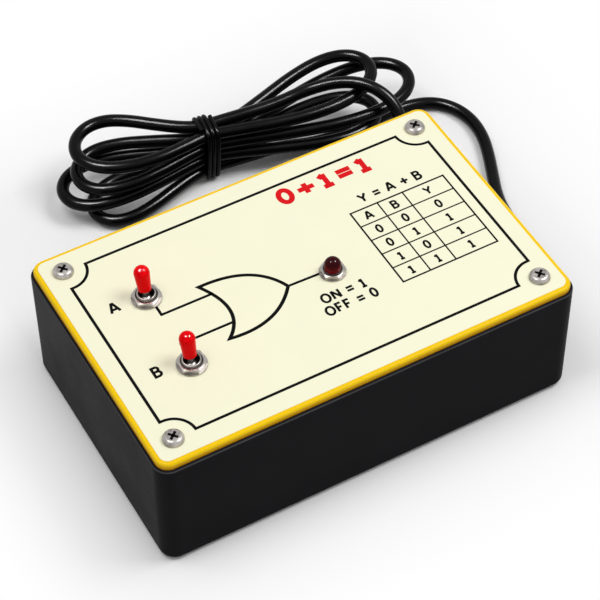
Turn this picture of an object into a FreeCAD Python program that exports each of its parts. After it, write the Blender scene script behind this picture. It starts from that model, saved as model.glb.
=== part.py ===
import FreeCAD, Part
import math
import os

# Logic gate trainer: a screwed box with two toggle switches, an output lamp, a small supply
# and a mains lead tied in a hank.
# Millimetres and degrees. Origin under the middle of the box, +X along its length, +Y to its rear, +Z up.

V = FreeCAD.Vector
X_AXIS = V(1, 0, 0)
Y_AXIS = V(0, 1, 0)
Z_AXIS = V(0, 0, 1)

# Shared sizes
cut_overrun = 1.0
running_clearance = 0.05
loose_clearance = 0.15
seat_gap = 0.2

# Case
case_length = 152.0
case_width = 97.0
case_height = 46.6
case_wall = 2.5
case_floor = 2.5
case_corner = 5.5
case_foot_round = 2.5
case_rim_round = 0.8
case_floor_round = 1.2

# Cover and printed sheet
cover_margin = 1.0
cover_thickness = 2.3
cover_edge_round = 1.0
label_inset = 1.6
label_thickness = 0.2

# Cover screws and their pillars
screw_inset = 9.5
screw_head_radius = 3.5
screw_head_height = 1.9
screw_head_round = 1.6
screw_shank_radius = 1.7
screw_length = 14.0
screw_recess_width = 0.95
screw_recess_depth = 1.2
screw_recess_turn = 40.0
pillar_wall = 2.4
pillar_web = 2.0
pillar_web_drop = 4.0
pilot_spare_depth = 1.5

# Toggle switches
switch_inset = 28.0
switch_spread = 31.4
bush_radius = 3.15
bush_bore_radius = 2.5
bush_mouth_radius = 2.75
bush_mouth_depth = 0.8
bush_lip_round = 0.3
bush_stand = 2.8
bush_flange_radius = 3.9
bush_flange_thickness = 0.8
nut_across_flats = 8.7
nut_thickness = 1.5
nut_crown_drop = 0.45
nut_mouth_depth = 0.55
crown_share = 0.97
washer_radius = 5.1
washer_thickness = 0.6
back_nut_across_flats = 8.0
back_nut_thickness = 2.5
pivot_depth = 3.7
pivot_pin_radius = 0.5
lever_ball_radius = 2.25
lever_radius = 1.15
lever_tail_radius = 0.85
lever_tail_length = 9.0
lever_lean = 12.0
sleeve_length = 9.2
sleeve_radius = 2.65
sleeve_foot_radius = 2.2
sleeve_gap = 0.9
sleeve_wall = 1.1
frame_thickness = 0.6
frame_leg_length = 6.0
frame_leg_width = 7.0
body_width = 8.0
body_length = 13.2
body_height = 9.0
body_wall = 1.3
terminal_pitch = 4.7
terminal_width = 2.0
terminal_thickness = 0.8
terminal_length = 5.0
terminal_eye_share = 0.25
rocker_thickness = 0.5
rocker_width = 3.2
rocker_length = 9.4
rocker_lean = 10.0
rocker_keel_radius = 0.7
tail_clearance = 0.25

# Output lamp
lamp_x_share = 0.0625
lamp_y = -4.0
led_radius = 2.85
led_height = 10.2
led_stand = 6.4
led_flange_radius = 3.1
led_flange_thickness = 1.0
led_lead_width = 0.5
led_lead_pitch = 2.54
led_lead_length = 9.0
collar_proud = 0.2
bezel_across_flats = 7.8
bezel_head_thickness = 1.5
bezel_crown_drop = 0.4
bezel_tube_radius = 3.75
bezel_wall = 0.5
bezel_tube_length = 9.5
lamp_washer_radius = 4.5
lamp_washer_thickness = 0.5
lamp_nut_across_flats = 9.0
lamp_nut_thickness = 2.0

# Circuit board and what it carries
board_inset = 12.0
board_width = 60.0
board_thickness = 1.6
board_y = 0.0
board_stand = 6.0
board_hole_inset = 4.0
board_post_radius = 3.0
board_screw_radius = 1.2
board_screw_head_radius = 2.5
board_screw_head_height = 1.6
board_screw_head_round = 0.8
board_screw_length = 6.5
chip_offset = 4.0
chip_y = 2.0
chip_length = 19.3
chip_width = 6.4
chip_height = 3.4
chip_notch_radius = 1.2
chip_pin_pitch = 2.54
chip_pins_a_side = 7
chip_pin_width = 0.5
chip_row_spacing = 7.62
socket_length = 19.8
socket_width = 10.2
socket_height = 4.2
socket_window_length = 14.0
socket_window_width = 4.0
regulator_inset = 14.0
regulator_y = -24.0
regulator_width = 10.2
regulator_body_height = 9.0
regulator_body_depth = 3.2
regulator_tab_height = 15.6
regulator_tab_thickness = 1.3
regulator_hole_radius = 1.8
regulator_stand = 3.5
regulator_lead_width = 0.8
regulator_lead_pitch = 2.54
capacitor_inset = 13.0
capacitor_y = 21.0
capacitor_radius = 6.3
capacitor_height = 14.0
capacitor_top_round = 0.8
capacitor_bead_height = 2.0
capacitor_bead_depth = 0.5
diode_inset = 28.0
diode_y = 25.0
diode_pitch = 5.0
diode_count = 4
diode_radius = 1.35
diode_length = 5.2
resistor_inset = 9.0
resistor_y = -24.0
resistor_pitch = 4.2
resistor_count = 5
resistor_radius = 1.15
resistor_end_radius = 1.3
resistor_end_length = 1.2
resistor_length = 6.4
axial_lead_radius = 0.35
axial_lead_reach = 2.2
axial_stand = 1.8

# Transformer
transformer_inset = 32.0
transformer_board_gap = 12.5
transformer_y = 8.0
core_stack = 15.0
core_length = 34.0
core_height = 28.0
core_leg = 9.5
core_yoke = 5.0
core_post_height = 3.0
winding_overhang = 4.0
winding_clearance = 0.2
winding_corner = 2.5
strap_thickness = 0.9
strap_foot_length = 9.0
strap_screw_radius = 1.5
strap_screw_head_radius = 2.9
strap_screw_head_height = 2.0
strap_screw_head_round = 1.0
strap_screw_length = 5.0
strap_post_radius = 4.0

# Inner wires
wire_radius = 0.65
wire_drop = 5.0
wire_rise = 6.0
switch_wire_reach = 13.0
switch_wire_fan_share = 0.5
lamp_wire_inset = 10.5
lamp_wire_reach = 8.0
lamp_wire_fan_share = 1.6
supply_wire_pitch = 8.0
supply_wire_reach = 6.0
mains_wire_pitch = 2.4
mains_wire_reach = 4.5
mains_tag_spread = 9.0

# Lead, its grommet and its plug
cord_diameter = 4.6
grommet_y = 8.0
grommet_z = 9.5
grommet_neck_radius = 4.2
grommet_flange_radius = 5.6
grommet_flange_thickness = 1.6
grommet_nose_radius = 4.2
grommet_nose_tip_radius = 3.1
grommet_nose_length = 3.4
grommet_root_radius = 5.0
grommet_tail_radius = 3.4
grommet_tail_length = 10.0
grommet_root_length = 2.0
plug_y = 64.0
plug_front_x = 4.0
plug_length = 30.0
plug_width = 26.0
plug_height = 15.0
plug_back_width = 17.0
plug_back_height = 12.0
plug_corner = 5.0
plug_edge_round = 1.5
plug_relief_length = 24.0
plug_relief_radius = 4.8
plug_relief_tip_radius = 3.0
plug_relief_groove = 0.6
plug_relief_groove_share = 0.25
plug_relief_rings = 5
plug_floor_gap = 0.1
pin_radius = 2.0
pin_length = 19.0
pin_spacing = 19.0
pin_tip_round = 1.2

# Hank of the lead: eight strands through the tie, four lobes to the left and three to the right
tie_x = 16.0
tie_y = 98.5
hank_turn = -6.5
strand_column = 2.6
strand_row = 5.5
first_row = 4.65
hank_end_runs = (14.0, 26.5)
# Each lobe: reach from the tie, sideways sway of its end, bow of its sides, droop of its end
left_lobes = [
    (46.0, -7.0, 13.5, -1.8),
    (55.0, 3.0, 15.0, -1.8),
    (49.0, 4.0, 15.0, -1.8),
    (46.0, 13.0, 17.0, 0.0),
]
right_lobes = [
    (66.0, -3.0, 15.8, 0.0),
    (82.0, 5.0, 19.0, 0.0),
    (68.0, 11.0, 17.0, 0.0),
]
lobe_node_shares = (0.25, 0.5, 0.75, 1.0)
tie_radius = 1.05
tie_gap = 0.2
tie_side_gap = 0.9
tie_corner = 3.0
tie_pitch = 2.56
tie_turns = 3
tie_end_run = 3.0

# Route of the lead from the grommet to the hank, and of the tail from the hank to the plug
lead_route = [
    (81.0, 8.0, 9.5),
    (85.6, 8.0, 9.5),
    (90.5, 10.2, 8.9),
    (94.0, 14.4, 7.7),
    (95.7, 19.8, 6.3),
    (97.3, 27.0, 4.8),
    (99.9, 34.6, 3.6),
    (103.8, 43.0, 2.8),
    (108.2, 52.5, 2.4),
    (111.7, 62.0, 2.4),
    (112.8, 71.0, 2.4),
    (111.0, 79.5, 2.4),
    (105.6, 86.4, 2.4),
    (96.5, 89.8, 2.4),
    (84.0, 90.0, 2.4),
    (70.0, 88.6, 2.4),
    (56.0, 89.8, 2.6),
]
tail_route = [
    (57.5, 98.3, 22.0),
    (68.0, 93.0, 25.6),
    (75.5, 85.5, 27.0),
    (80.5, 77.5, 24.0),
    (81.5, 70.5, 18.5),
    (77.5, 65.5, 13.0),
    (69.5, 64.0, 9.0),
]
cord_runs_share = 0.45

# Places worked out from the sizes above
cover_length = case_length - 2 * cover_margin
cover_width = case_width - 2 * cover_margin
cover_corner = case_corner - cover_margin
cover_top = case_height + cover_thickness
panel_top = cover_top + label_thickness
screw_places = [(sx * (case_length / 2 - screw_inset), sy * (case_width / 2 - screw_inset))
                for sx in (-1, 1) for sy in (-1, 1)]
switch_x = switch_inset - case_length / 2
switch_places = {"a": switch_spread / 2, "b": -switch_spread / 2}
lamp_x = case_length * lamp_x_share
bush_top = panel_top + bush_stand
pivot_z = bush_top - pivot_depth
flange_top = case_height - back_nut_thickness
frame_top = flange_top - bush_flange_thickness
body_top = frame_top - frame_thickness
body_bottom = body_top - body_height
rocker_z = pivot_z - lever_tail_length - tail_clearance - rocker_thickness / 2
transformer_x = case_length / 2 - transformer_inset
board_left = board_inset - case_length / 2
board_right = transformer_x - core_stack / 2 - winding_overhang - transformer_board_gap
board_length = board_right - board_left
board_x = (board_left + board_right) / 2
chip_x = board_x - chip_offset
board_bottom = case_floor + board_stand
board_top = board_bottom + board_thickness
core_bottom = case_floor + core_post_height
cord_radius = cord_diameter / 2
plug_z = plug_height / 2 + plug_floor_gap
hank_u = V(math.cos(math.radians(hank_turn)), math.sin(math.radians(hank_turn)), 0)
hank_v = V(-hank_u.y, hank_u.x, 0)
tie_centre = V(tie_x, tie_y, 0)
strand_rows = [first_row + i * strand_row for i in range(len(left_lobes))]

parts = {}


def rounded_outline(length, width, corner, z, centre=(0.0, 0.0)):
    """Closed rectangle with round corners, flat at height z."""
    a, b = length / 2, width / 2
    cx, cy = centre
    edges = []
    corners = [(1, 1, 0), (-1, 1, 90), (-1, -1, 180), (1, -1, 270)]
    rim = []
    for sx, sy, start in corners:
        circle = Part.Circle(V(cx + sx * (a - corner), cy + sy * (b - corner), z), Z_AXIS, corner)
        rim.append(Part.ArcOfCircle(circle, math.radians(start), math.radians(start + 90)).toShape())
    for i, arc in enumerate(rim):
        follow = rim[(i + 1) % len(rim)]
        edges.append(arc)
        edges.append(Part.makeLine(arc.valueAt(arc.LastParameter), follow.valueAt(follow.FirstParameter)))
    return Part.Wire(edges)


def rounded_block(length, width, height, corner, z, centre=(0.0, 0.0)):
    return Part.Face(rounded_outline(length, width, corner, z, centre)).extrude(V(0, 0, height))


def block(length, width, height, x, y, z):
    """Box centred on x and y, standing on z."""
    return Part.makeBox(length, width, height, V(x - length / 2, y - width / 2, z))


def cylinder(radius, height, x, y, z):
    return Part.makeCylinder(radius, height, V(x, y, z))


def drill(radius, thickness, x, y, z):
    """Cutter for a round hole through a plate that lies on z."""
    return cylinder(radius, thickness + 2 * cut_overrun, x, y, z - cut_overrun)


def pilot(shank_radius, depth, x, y, top):
    """Cutter for the blind hole of a screw, down from top."""
    return cylinder(shank_radius + running_clearance, depth + cut_overrun, x, y, top - depth)


def hexagon(across_flats, height, x, y, z):
    """Hexagonal prism with flats facing along X."""
    corner = across_flats / math.sqrt(3)
    ring = [V(x + corner * math.sin(math.radians(60 * i)), y + corner * math.cos(math.radians(60 * i)), z)
            for i in range(7)]
    return Part.Face(Part.makePolygon(ring)).extrude(V(0, 0, height))


def edges_at(shape, z, tolerance=1e-4):
    """Edges that lie flat at height z."""
    found = []
    for edge in shape.Edges:
        box = edge.BoundBox
        if abs(box.ZMin - z) < tolerance and abs(box.ZMax - z) < tolerance:
            found.append(edge)
    return found


def revolved(profile, base, axis):
    """Solid of revolution of closed (along, out) points about an axis through base."""
    side = V(0, 0, 1) if abs(axis.z) < 1 else V(1, 0, 0)
    ring = [base + axis * along + side * out for along, out in profile]
    face = Part.Face(Part.makePolygon(ring + ring[:1]))
    return face.revolve(base, axis, 360)


def pan_screw(head_radius, head_height, head_round, shank_radius, length, x, y, z):
    """Pan-head screw standing with its head's seat at z, with a cross recess."""
    head = cylinder(head_radius, head_height, x, y, z)
    head = head.makeFillet(head_round, edges_at(head, z + head_height))
    recess_z = z + head_height - screw_recess_depth
    for across, along in ((screw_recess_width, head_radius), (head_radius, screw_recess_width)):
        arm = block(across, along, screw_recess_depth + cut_overrun, x, y, recess_z)
        arm.rotate(V(x, y, z), Z_AXIS, screw_recess_turn)
        head = head.cut(arm)
    shank = cylinder(shank_radius, length - shank_radius, x, y, z - length + shank_radius)
    point = Part.makeCone(0, shank_radius, shank_radius, V(x, y, z - length))
    return head.fuse([shank, point]).removeSplitter()


def base_box():
    shell = rounded_block(case_length, case_width, case_height, case_corner, 0)
    shell = shell.makeFillet(case_foot_round, edges_at(shell, 0))
    shell = shell.makeFillet(case_rim_round, edges_at(shell, case_height))
    hollow = rounded_block(case_length - 2 * case_wall, case_width - 2 * case_wall,
                           case_height - case_floor + cut_overrun, case_corner - case_wall, case_floor)
    hollow = hollow.makeFillet(case_floor_round, edges_at(hollow, case_floor))
    shell = shell.cut(hollow)
    added = []
    pilots = []
    pillar_radius = screw_shank_radius + pillar_wall
    pillar_height = case_height - case_floor
    for x, y in screw_places:
        added.append(cylinder(pillar_radius, pillar_height, x, y, case_floor))
        web_x = math.copysign(case_length / 2 - case_wall / 2, x)
        web_y = math.copysign(case_width / 2 - case_wall / 2, y)
        web_height = pillar_height - pillar_web_drop
        added.append(block(abs(web_x - x), pillar_web, web_height, (web_x + x) / 2, y, case_floor))
        added.append(block(pillar_web, abs(web_y - y), web_height, x, (web_y + y) / 2, case_floor))
        depth = screw_length - cover_thickness - label_thickness + pilot_spare_depth
        pilots.append(pilot(screw_shank_radius, depth, x, y, case_height))
    for x, y in board_holes():
        added.append(cylinder(board_post_radius, board_stand, x, y, case_floor))
        depth = board_screw_length - board_thickness + running_clearance
        pilots.append(pilot(board_screw_radius, depth, x, y, board_bottom))
    for x, y in strap_holes():
        added.append(cylinder(strap_post_radius, core_post_height, x, y, case_floor))
        depth = strap_screw_length - strap_thickness + running_clearance
        pilots.append(pilot(strap_screw_radius, depth, x, y, core_bottom))
    shell = shell.fuse(added).cut(pilots)
    neck = Part.makeCylinder(grommet_neck_radius + running_clearance, case_wall + 2 * cut_overrun,
                             V(case_length / 2 - case_wall - cut_overrun, grommet_y, grommet_z), X_AXIS)
    return shell.cut(neck).removeSplitter()


def panel_holes(thickness, z):
    """Cutters for the screws, switches and lamp through the cover or the printed sheet."""
    places = [(screw_shank_radius, x, y) for x, y in screw_places]
    places += [(bush_radius, switch_x, y) for y in switch_places.values()]
    places.append((bezel_tube_radius, lamp_x, lamp_y))
    return [drill(radius + loose_clearance, thickness, x, y, z) for radius, x, y in places]


def case():
    parts["base_box"] = base_box()
    plate = rounded_block(cover_length, cover_width, cover_thickness, cover_corner, case_height)
    plate = plate.makeFillet(cover_edge_round, edges_at(plate, cover_top))
    parts["top_cover"] = plate.cut(panel_holes(cover_thickness, case_height))
    sheet = rounded_block(cover_length - 2 * label_inset, cover_width - 2 * label_inset,
                          label_thickness, cover_corner - label_inset, cover_top)
    parts["face_label"] = sheet.cut(panel_holes(label_thickness, cover_top))
    parts["cover_screws"] = Part.makeCompound([
        pan_screw(screw_head_radius, screw_head_height, screw_head_round, screw_shank_radius, screw_length,
                  x, y, panel_top) for x, y in screw_places])


def drilled_hexagon(across_flats, thickness, bore, crown_drop, mouth_depth, x, y, z):
    """Hexagon with a hole; its corners fall by crown_drop and its hole opens over mouth_depth at the top."""
    nut = hexagon(across_flats, thickness, x, y, z).cut(drill(bore, thickness, x, y, z))
    if crown_drop:
        crown_radius = crown_share * across_flats / 2
        spread = (across_flats / math.sqrt(3) - crown_radius) * thickness / crown_drop
        nut = nut.common(Part.makeCone(crown_radius + spread, crown_radius, thickness, V(x, y, z)))
    if mouth_depth:
        mouth_z = z + thickness - mouth_depth
        nut = nut.cut(Part.makeCone(bore, bore + mouth_depth, mouth_depth, V(x, y, mouth_z)))
    return nut


def switch_bush(x, y):
    outer = cylinder(bush_radius, bush_top - frame_top, x, y, frame_top)
    outer = outer.makeFillet(bush_lip_round, edges_at(outer, bush_top))
    outer = outer.fuse(cylinder(bush_flange_radius, bush_flange_thickness, x, y, frame_top))
    bore = drill(bush_bore_radius, bush_top - frame_top, x, y, frame_top)
    mouth = Part.makeCone(bush_bore_radius, bush_mouth_radius, bush_mouth_depth,
                          V(x, y, bush_top - bush_mouth_depth))
    pin_hole = Part.makeCylinder(pivot_pin_radius, 2 * bush_radius, V(x - bush_radius, y, pivot_z), X_AXIS)
    return outer.cut([bore, mouth, pin_hole]).removeSplitter()


def switch_frame(x, y):
    """Folded saddle: a top plate with the lever's hole and a leg down each long side of the housing."""
    plate = block(body_width + 2 * frame_thickness, body_length, frame_thickness, x, y, body_top)
    plate = plate.cut(drill(bush_bore_radius, frame_thickness, x, y, body_top))
    leg_reach = (body_width + frame_thickness) / 2
    legs = [block(frame_thickness, frame_leg_width, frame_leg_length, x + s * leg_reach, y,
                  body_top - frame_leg_length) for s in (-1, 1)]
    return plate.fuse(legs).removeSplitter()


def terminal_places(y):
    return [y + i * terminal_pitch for i in (-1, 0, 1)]


def rocker_drop():
    """How far an end of the contact rocker dips at its stop."""
    return rocker_length / 2 * math.sin(math.radians(rocker_lean))


def switch_body(x, y):
    shell = block(body_width, body_length, body_height, x, y, body_bottom)
    hollow = block(body_width - 2 * body_wall, body_length - 2 * body_wall,
                   body_height - body_wall + cut_overrun, x, y, body_bottom + body_wall)
    slots = [block(terminal_width, terminal_thickness, body_wall + 2 * cut_overrun,
                   x, ty, body_bottom - cut_overrun) for ty in terminal_places(y)]
    return shell.cut([hollow] + slots)


def switch_terminals(x, y):
    """Three lugs: the middle one carries the rocker's keel, the outer ones are struck by its ends."""
    underside = rocker_z - rocker_thickness / 2
    lean = math.radians(rocker_lean)
    outer_top = rocker_z - rocker_drop() - rocker_thickness / 2 - seat_gap
    middle_top = underside - rocker_keel_radius - seat_gap
    lugs = []
    for ty in terminal_places(y):
        top = middle_top if ty == y else outer_top - terminal_thickness / 2 * math.tan(lean)
        bottom = body_bottom - terminal_length
        lug = block(terminal_width, terminal_thickness, top - bottom, x, ty, bottom)
        eye_z = body_bottom - terminal_length / 2
        eye = Part.makeCylinder(terminal_width * terminal_eye_share, terminal_thickness + 2 * cut_overrun,
                                V(x, ty - terminal_thickness / 2 - cut_overrun, eye_z), Y_AXIS)
        lugs.append(lug.cut(eye))
    return Part.makeCompound(lugs)


def switch_rocker(x, y):
    blade = block(rocker_width, rocker_length, rocker_thickness, x, y, rocker_z - rocker_thickness / 2)
    keel = Part.makeCylinder(rocker_keel_radius, rocker_width,
                             V(x - rocker_width / 2, y, rocker_z - rocker_thickness / 2), X_AXIS)
    head_room = block(rocker_width + 2 * cut_overrun, rocker_length, rocker_length, x, y, rocker_z)
    rocker = blade.fuse(keel.cut(head_room)).removeSplitter()
    rocker.rotate(V(x, y, rocker_z), X_AXIS, rocker_lean)
    return rocker


def switch_lever(x, y):
    """Steel lever with a ball at its pivot and a round-ended tail, leaning to the rear."""
    reach = pivot_depth + sleeve_gap + sleeve_length - sleeve_wall
    stem = cylinder(lever_radius, reach, x, y, pivot_z)
    ball = Part.makeSphere(lever_ball_radius, V(x, y, pivot_z))
    tail = cylinder(lever_tail_radius, lever_tail_length - lever_tail_radius, x, y,
                    pivot_z - lever_tail_length + lever_tail_radius)
    tip = Part.makeSphere(lever_tail_radius, V(x, y, pivot_z - lever_tail_length + lever_tail_radius))
    eye = Part.makeCylinder(pivot_pin_radius + running_clearance, 2 * (lever_ball_radius + cut_overrun),
                            V(x - lever_ball_radius - cut_overrun, y, pivot_z), X_AXIS)
    lever = ball.fuse([stem, tail, tip]).cut(eye).removeSplitter()
    lever.rotate(V(x, y, pivot_z), X_AXIS, -lever_lean)
    return lever


def switch_sleeve(x, y):
    """Tapered sleeve with a round tip, bored to go over the lever."""
    foot = pivot_z + pivot_depth + sleeve_gap
    tip_centre = foot + sleeve_length - sleeve_radius
    skirt = Part.makeCone(sleeve_foot_radius, sleeve_radius, tip_centre - foot, V(x, y, foot))
    tip = Part.makeSphere(sleeve_radius, V(x, y, tip_centre))
    bore = cylinder(lever_radius + running_clearance, sleeve_length - sleeve_wall + cut_overrun,
                    x, y, foot - cut_overrun)
    sleeve = skirt.fuse(tip).cut(bore).removeSplitter()
    sleeve.rotate(V(x, y, pivot_z), X_AXIS, -lever_lean)
    return sleeve


def toggle_switch(letter, y):
    x = switch_x
    name = "switch_" + letter + "_"
    bore = bush_radius + running_clearance
    washer = cylinder(washer_radius, washer_thickness, x, y, panel_top)
    parts[name + "washer"] = washer.cut(drill(bore, washer_thickness, x, y, panel_top))
    parts[name + "panel_nut"] = drilled_hexagon(nut_across_flats, nut_thickness, bore, nut_crown_drop,
                                                nut_mouth_depth, x, y, panel_top + washer_thickness)
    parts[name + "back_nut"] = drilled_hexagon(back_nut_across_flats, back_nut_thickness, bore, 0, 0,
                                               x, y, flange_top)
    parts[name + "bush"] = switch_bush(x, y)
    parts[name + "frame"] = switch_frame(x, y)
    parts[name + "body"] = switch_body(x, y)
    parts[name + "terminals"] = switch_terminals(x, y)
    parts[name + "rocker"] = switch_rocker(x, y)
    parts[name + "pivot_pin"] = Part.makeCylinder(pivot_pin_radius, 2 * bush_radius - 2 * running_clearance,
                                                  V(x - bush_radius + running_clearance, y, pivot_z), X_AXIS)
    parts[name + "lever"] = switch_lever(x, y)
    parts[name + "sleeve"] = switch_sleeve(x, y)


def output_lamp():
    x, y = lamp_x, lamp_y
    head_z = panel_top + lamp_washer_thickness
    head_top = head_z + bezel_head_thickness
    bore = bezel_tube_radius - bezel_wall
    tube_bore = bezel_tube_radius + running_clearance
    washer = cylinder(lamp_washer_radius, lamp_washer_thickness, x, y, panel_top)
    parts["lamp_washer"] = washer.cut(drill(tube_bore, lamp_washer_thickness, x, y, panel_top))
    head = drilled_hexagon(bezel_across_flats, bezel_head_thickness, bore, bezel_crown_drop, 0, x, y, head_z)
    tube_foot = head_z - bezel_tube_length
    tube = cylinder(bezel_tube_radius, bezel_tube_length, x, y, tube_foot)
    tube = tube.cut(drill(bore, bezel_tube_length, x, y, tube_foot))
    parts["lamp_bezel"] = head.fuse(tube).removeSplitter()
    parts["lamp_nut"] = drilled_hexagon(lamp_nut_across_flats, lamp_nut_thickness, tube_bore, 0, 0, x, y,
                                        case_height - lamp_nut_thickness)
    led_top = panel_top + led_stand
    led_bottom = led_top - led_height
    flange_z = led_bottom + led_flange_thickness
    lens = cylinder(led_radius, led_height - led_radius, x, y, led_bottom)
    lens = lens.fuse([Part.makeSphere(led_radius, V(x, y, led_top - led_radius)),
                      cylinder(led_flange_radius, led_flange_thickness, x, y, led_bottom)])
    parts["lamp_led"] = lens.removeSplitter()
    collar = cylinder(bore - running_clearance, head_top + collar_proud - flange_z, x, y, flange_z)
    parts["lamp_collar"] = collar.cut(cylinder(led_radius + running_clearance, led_height, x, y, flange_z))
    leads = [block(led_lead_width, led_lead_width, led_lead_length, x + s * led_lead_pitch / 2, y,
                   led_bottom - led_lead_length) for s in (-1, 1)]
    parts["lamp_leads"] = Part.makeCompound(leads)


def board_holes():
    a, b = board_length / 2 - board_hole_inset, board_width / 2 - board_hole_inset
    return [(board_x + sx * a, board_y + sy * b) for sx in (-1, 1) for sy in (-1, 1)]


def axial_part(x, y, body, half_length):
    """Thread a lead through a body that lies along Y over the board, bent down at each end."""
    z = board_top + axial_stand
    reach = half_length + axial_lead_reach
    lead = [(x, y - reach, board_top), (x, y - reach, z), (x, y + reach, z), (x, y + reach, board_top)]
    return body.fuse(swept(rounded_path(lead)[0], axial_lead_radius)).removeSplitter()


def diode(x, y):
    half = diode_length / 2
    body = Part.makeCylinder(diode_radius, diode_length, V(x, y - half, board_top + axial_stand), Y_AXIS)
    return axial_part(x, y, body, half)


def resistor(x, y):
    half = resistor_length / 2
    waist = resistor_radius
    ends = resistor_end_radius
    flat = half - resistor_end_length
    neck = flat - (ends - waist)
    profile = [(-half, 0), (-half, ends), (-flat, ends), (-neck, waist),
               (neck, waist), (flat, ends), (half, ends), (half, 0)]
    body = revolved(profile, V(x, y, board_top + axial_stand), Y_AXIS)
    return axial_part(x, y, body, half)


def logic_chip():
    """Moulded chip with a notched end and two rows of shouldered pins standing in the socket."""
    z = board_top + socket_height
    body = block(chip_length, chip_width, chip_height, chip_x, chip_y, z)
    notch = cylinder(chip_notch_radius, chip_height, chip_x - chip_length / 2, chip_y, z + chip_height / 2)
    body = body.cut(notch)
    pins = []
    reach = (chip_row_spacing - chip_width) / 2 + chip_pin_width
    for i in range(chip_pins_a_side):
        px = chip_x + (i - (chip_pins_a_side - 1) / 2) * chip_pin_pitch
        for s in (-1, 1):
            py = chip_y + s * (chip_width / 2 + reach / 2)
            pins.append(block(chip_pin_width, reach, chip_pin_width, px, py, z + chip_height / 2))
            foot_y = chip_y + s * (chip_width / 2 + reach - chip_pin_width / 2)
            pins.append(block(chip_pin_width, chip_pin_width, chip_height / 2, px, foot_y, z))
    return body.fuse(pins).removeSplitter()


def regulator():
    x, y = board_right - regulator_inset, regulator_y
    z = board_top + regulator_stand
    body = block(regulator_width, regulator_body_depth, regulator_body_height, x, y, z)
    tab_y = y - (regulator_body_depth + regulator_tab_thickness) / 2
    tab = block(regulator_width, regulator_tab_thickness, regulator_tab_height, x, tab_y, z)
    hole_z = z + (regulator_body_height + regulator_tab_height) / 2
    tab = tab.cut(Part.makeCylinder(regulator_hole_radius, 2 * regulator_tab_thickness,
                                    V(x, tab_y - regulator_tab_thickness, hole_z), Y_AXIS))
    leads = [block(regulator_lead_width, regulator_lead_width, regulator_stand,
                   x + i * regulator_lead_pitch, y, board_top) for i in (-1, 0, 1)]
    return body.fuse([tab] + leads).removeSplitter()


def filter_capacitor():
    x, y = board_right - capacitor_inset, capacitor_y
    can = cylinder(capacitor_radius, capacitor_height, x, y, board_top)
    can = can.makeFillet(capacitor_top_round, edges_at(can, board_top + capacitor_height))
    bead = Part.makeTorus(capacitor_radius + capacitor_bead_depth / 2, capacitor_bead_depth,
                          V(x, y, board_top + capacitor_bead_height))
    return can.cut(bead)


def circuit():
    plate = block(board_length, board_width, board_thickness, board_x, board_y, board_bottom)
    hole = board_screw_radius + loose_clearance
    holes = [drill(hole, board_thickness, x, y, board_bottom) for x, y in board_holes()]
    parts["circuit_board"] = plate.cut(holes)
    parts["board_screws"] = Part.makeCompound([
        pan_screw(board_screw_head_radius, board_screw_head_height, board_screw_head_round,
                  board_screw_radius, board_screw_length, x, y, board_top) for x, y in board_holes()])
    socket = block(socket_length, socket_width, socket_height, chip_x, chip_y, board_top)
    window = block(socket_window_length, socket_window_width, socket_height + 2 * cut_overrun,
                   chip_x, chip_y, board_top - cut_overrun)
    parts["chip_socket"] = socket.cut(window)
    parts["logic_chip"] = logic_chip()
    parts["regulator"] = regulator()
    parts["filter_capacitor"] = filter_capacitor()
    parts["rectifier_diodes"] = Part.makeCompound([diode(board_right - diode_inset - i * diode_pitch, diode_y)
                                                   for i in range(diode_count)])
    first_x = board_left + resistor_inset
    parts["resistors"] = Part.makeCompound([resistor(first_x + i * resistor_pitch, resistor_y)
                                            for i in range(resistor_count)])


def strap_holes():
    reach = core_length / 2 + strap_thickness + strap_foot_length / 2
    return [(transformer_x, transformer_y + s * reach) for s in (-1, 1)]


def transformer():
    x, y = transformer_x, transformer_y
    core = block(core_stack, core_length, core_height, x, y, core_bottom)
    window_width = (core_length - 2 * core_yoke - core_leg) / 2
    window_height = core_height - 2 * core_yoke
    for s in (-1, 1):
        middle = y + s * (core_leg + window_width) / 2
        core = core.cut(block(core_stack + 2 * cut_overrun, window_width, window_height,
                              x, middle, core_bottom + core_yoke))
    parts["transformer_core"] = core
    coil_width = core_leg + 2 * window_width - 2 * winding_clearance
    coil = rounded_block(core_stack + 2 * winding_overhang, coil_width, window_height - 2 * winding_clearance,
                         winding_corner, core_bottom + core_yoke + winding_clearance, (x, y))
    eye = block(core_stack + 2 * winding_clearance, core_leg + 2 * winding_clearance, core_height,
                x, y, core_bottom)
    parts["transformer_winding"] = coil.cut(eye)
    over = block(core_stack, core_length + 2 * strap_thickness, core_height + strap_thickness,
                 x, y, core_bottom)
    over = over.cut(block(core_stack + 2 * cut_overrun, core_length, core_height, x, y, core_bottom))
    feet = [block(core_stack, strap_foot_length, strap_thickness, hx, hy, core_bottom)
            for hx, hy in strap_holes()]
    hole = strap_screw_radius + loose_clearance
    holes = [drill(hole, strap_thickness, hx, hy, core_bottom) for hx, hy in strap_holes()]
    parts["transformer_frame"] = over.fuse(feet).cut(holes).removeSplitter()
    parts["transformer_screws"] = Part.makeCompound([
        pan_screw(strap_screw_head_radius, strap_screw_head_height, strap_screw_head_round,
                  strap_screw_radius, strap_screw_length, hx, hy, core_bottom + strap_thickness)
        for hx, hy in strap_holes()])


def arc_from_tangent(start, tangent, end):
    """Circular arc that leaves start along tangent and reaches end, or a line where it doesn't bend."""
    chord = end - start
    side = chord - tangent * chord.dot(tangent)
    if side.Length < 1e-6 * chord.Length:
        return Part.LineSegment(start, end).toShape()
    side.normalize()
    half_turn = math.atan2(chord.dot(side), chord.dot(tangent))
    radius = chord.Length / (2 * math.sin(half_turn))
    centre = start + side * radius
    middle = centre - side * radius * math.cos(half_turn) + tangent * radius * math.sin(half_turn)
    return Part.Arc(start, middle, end).toShape()


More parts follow.
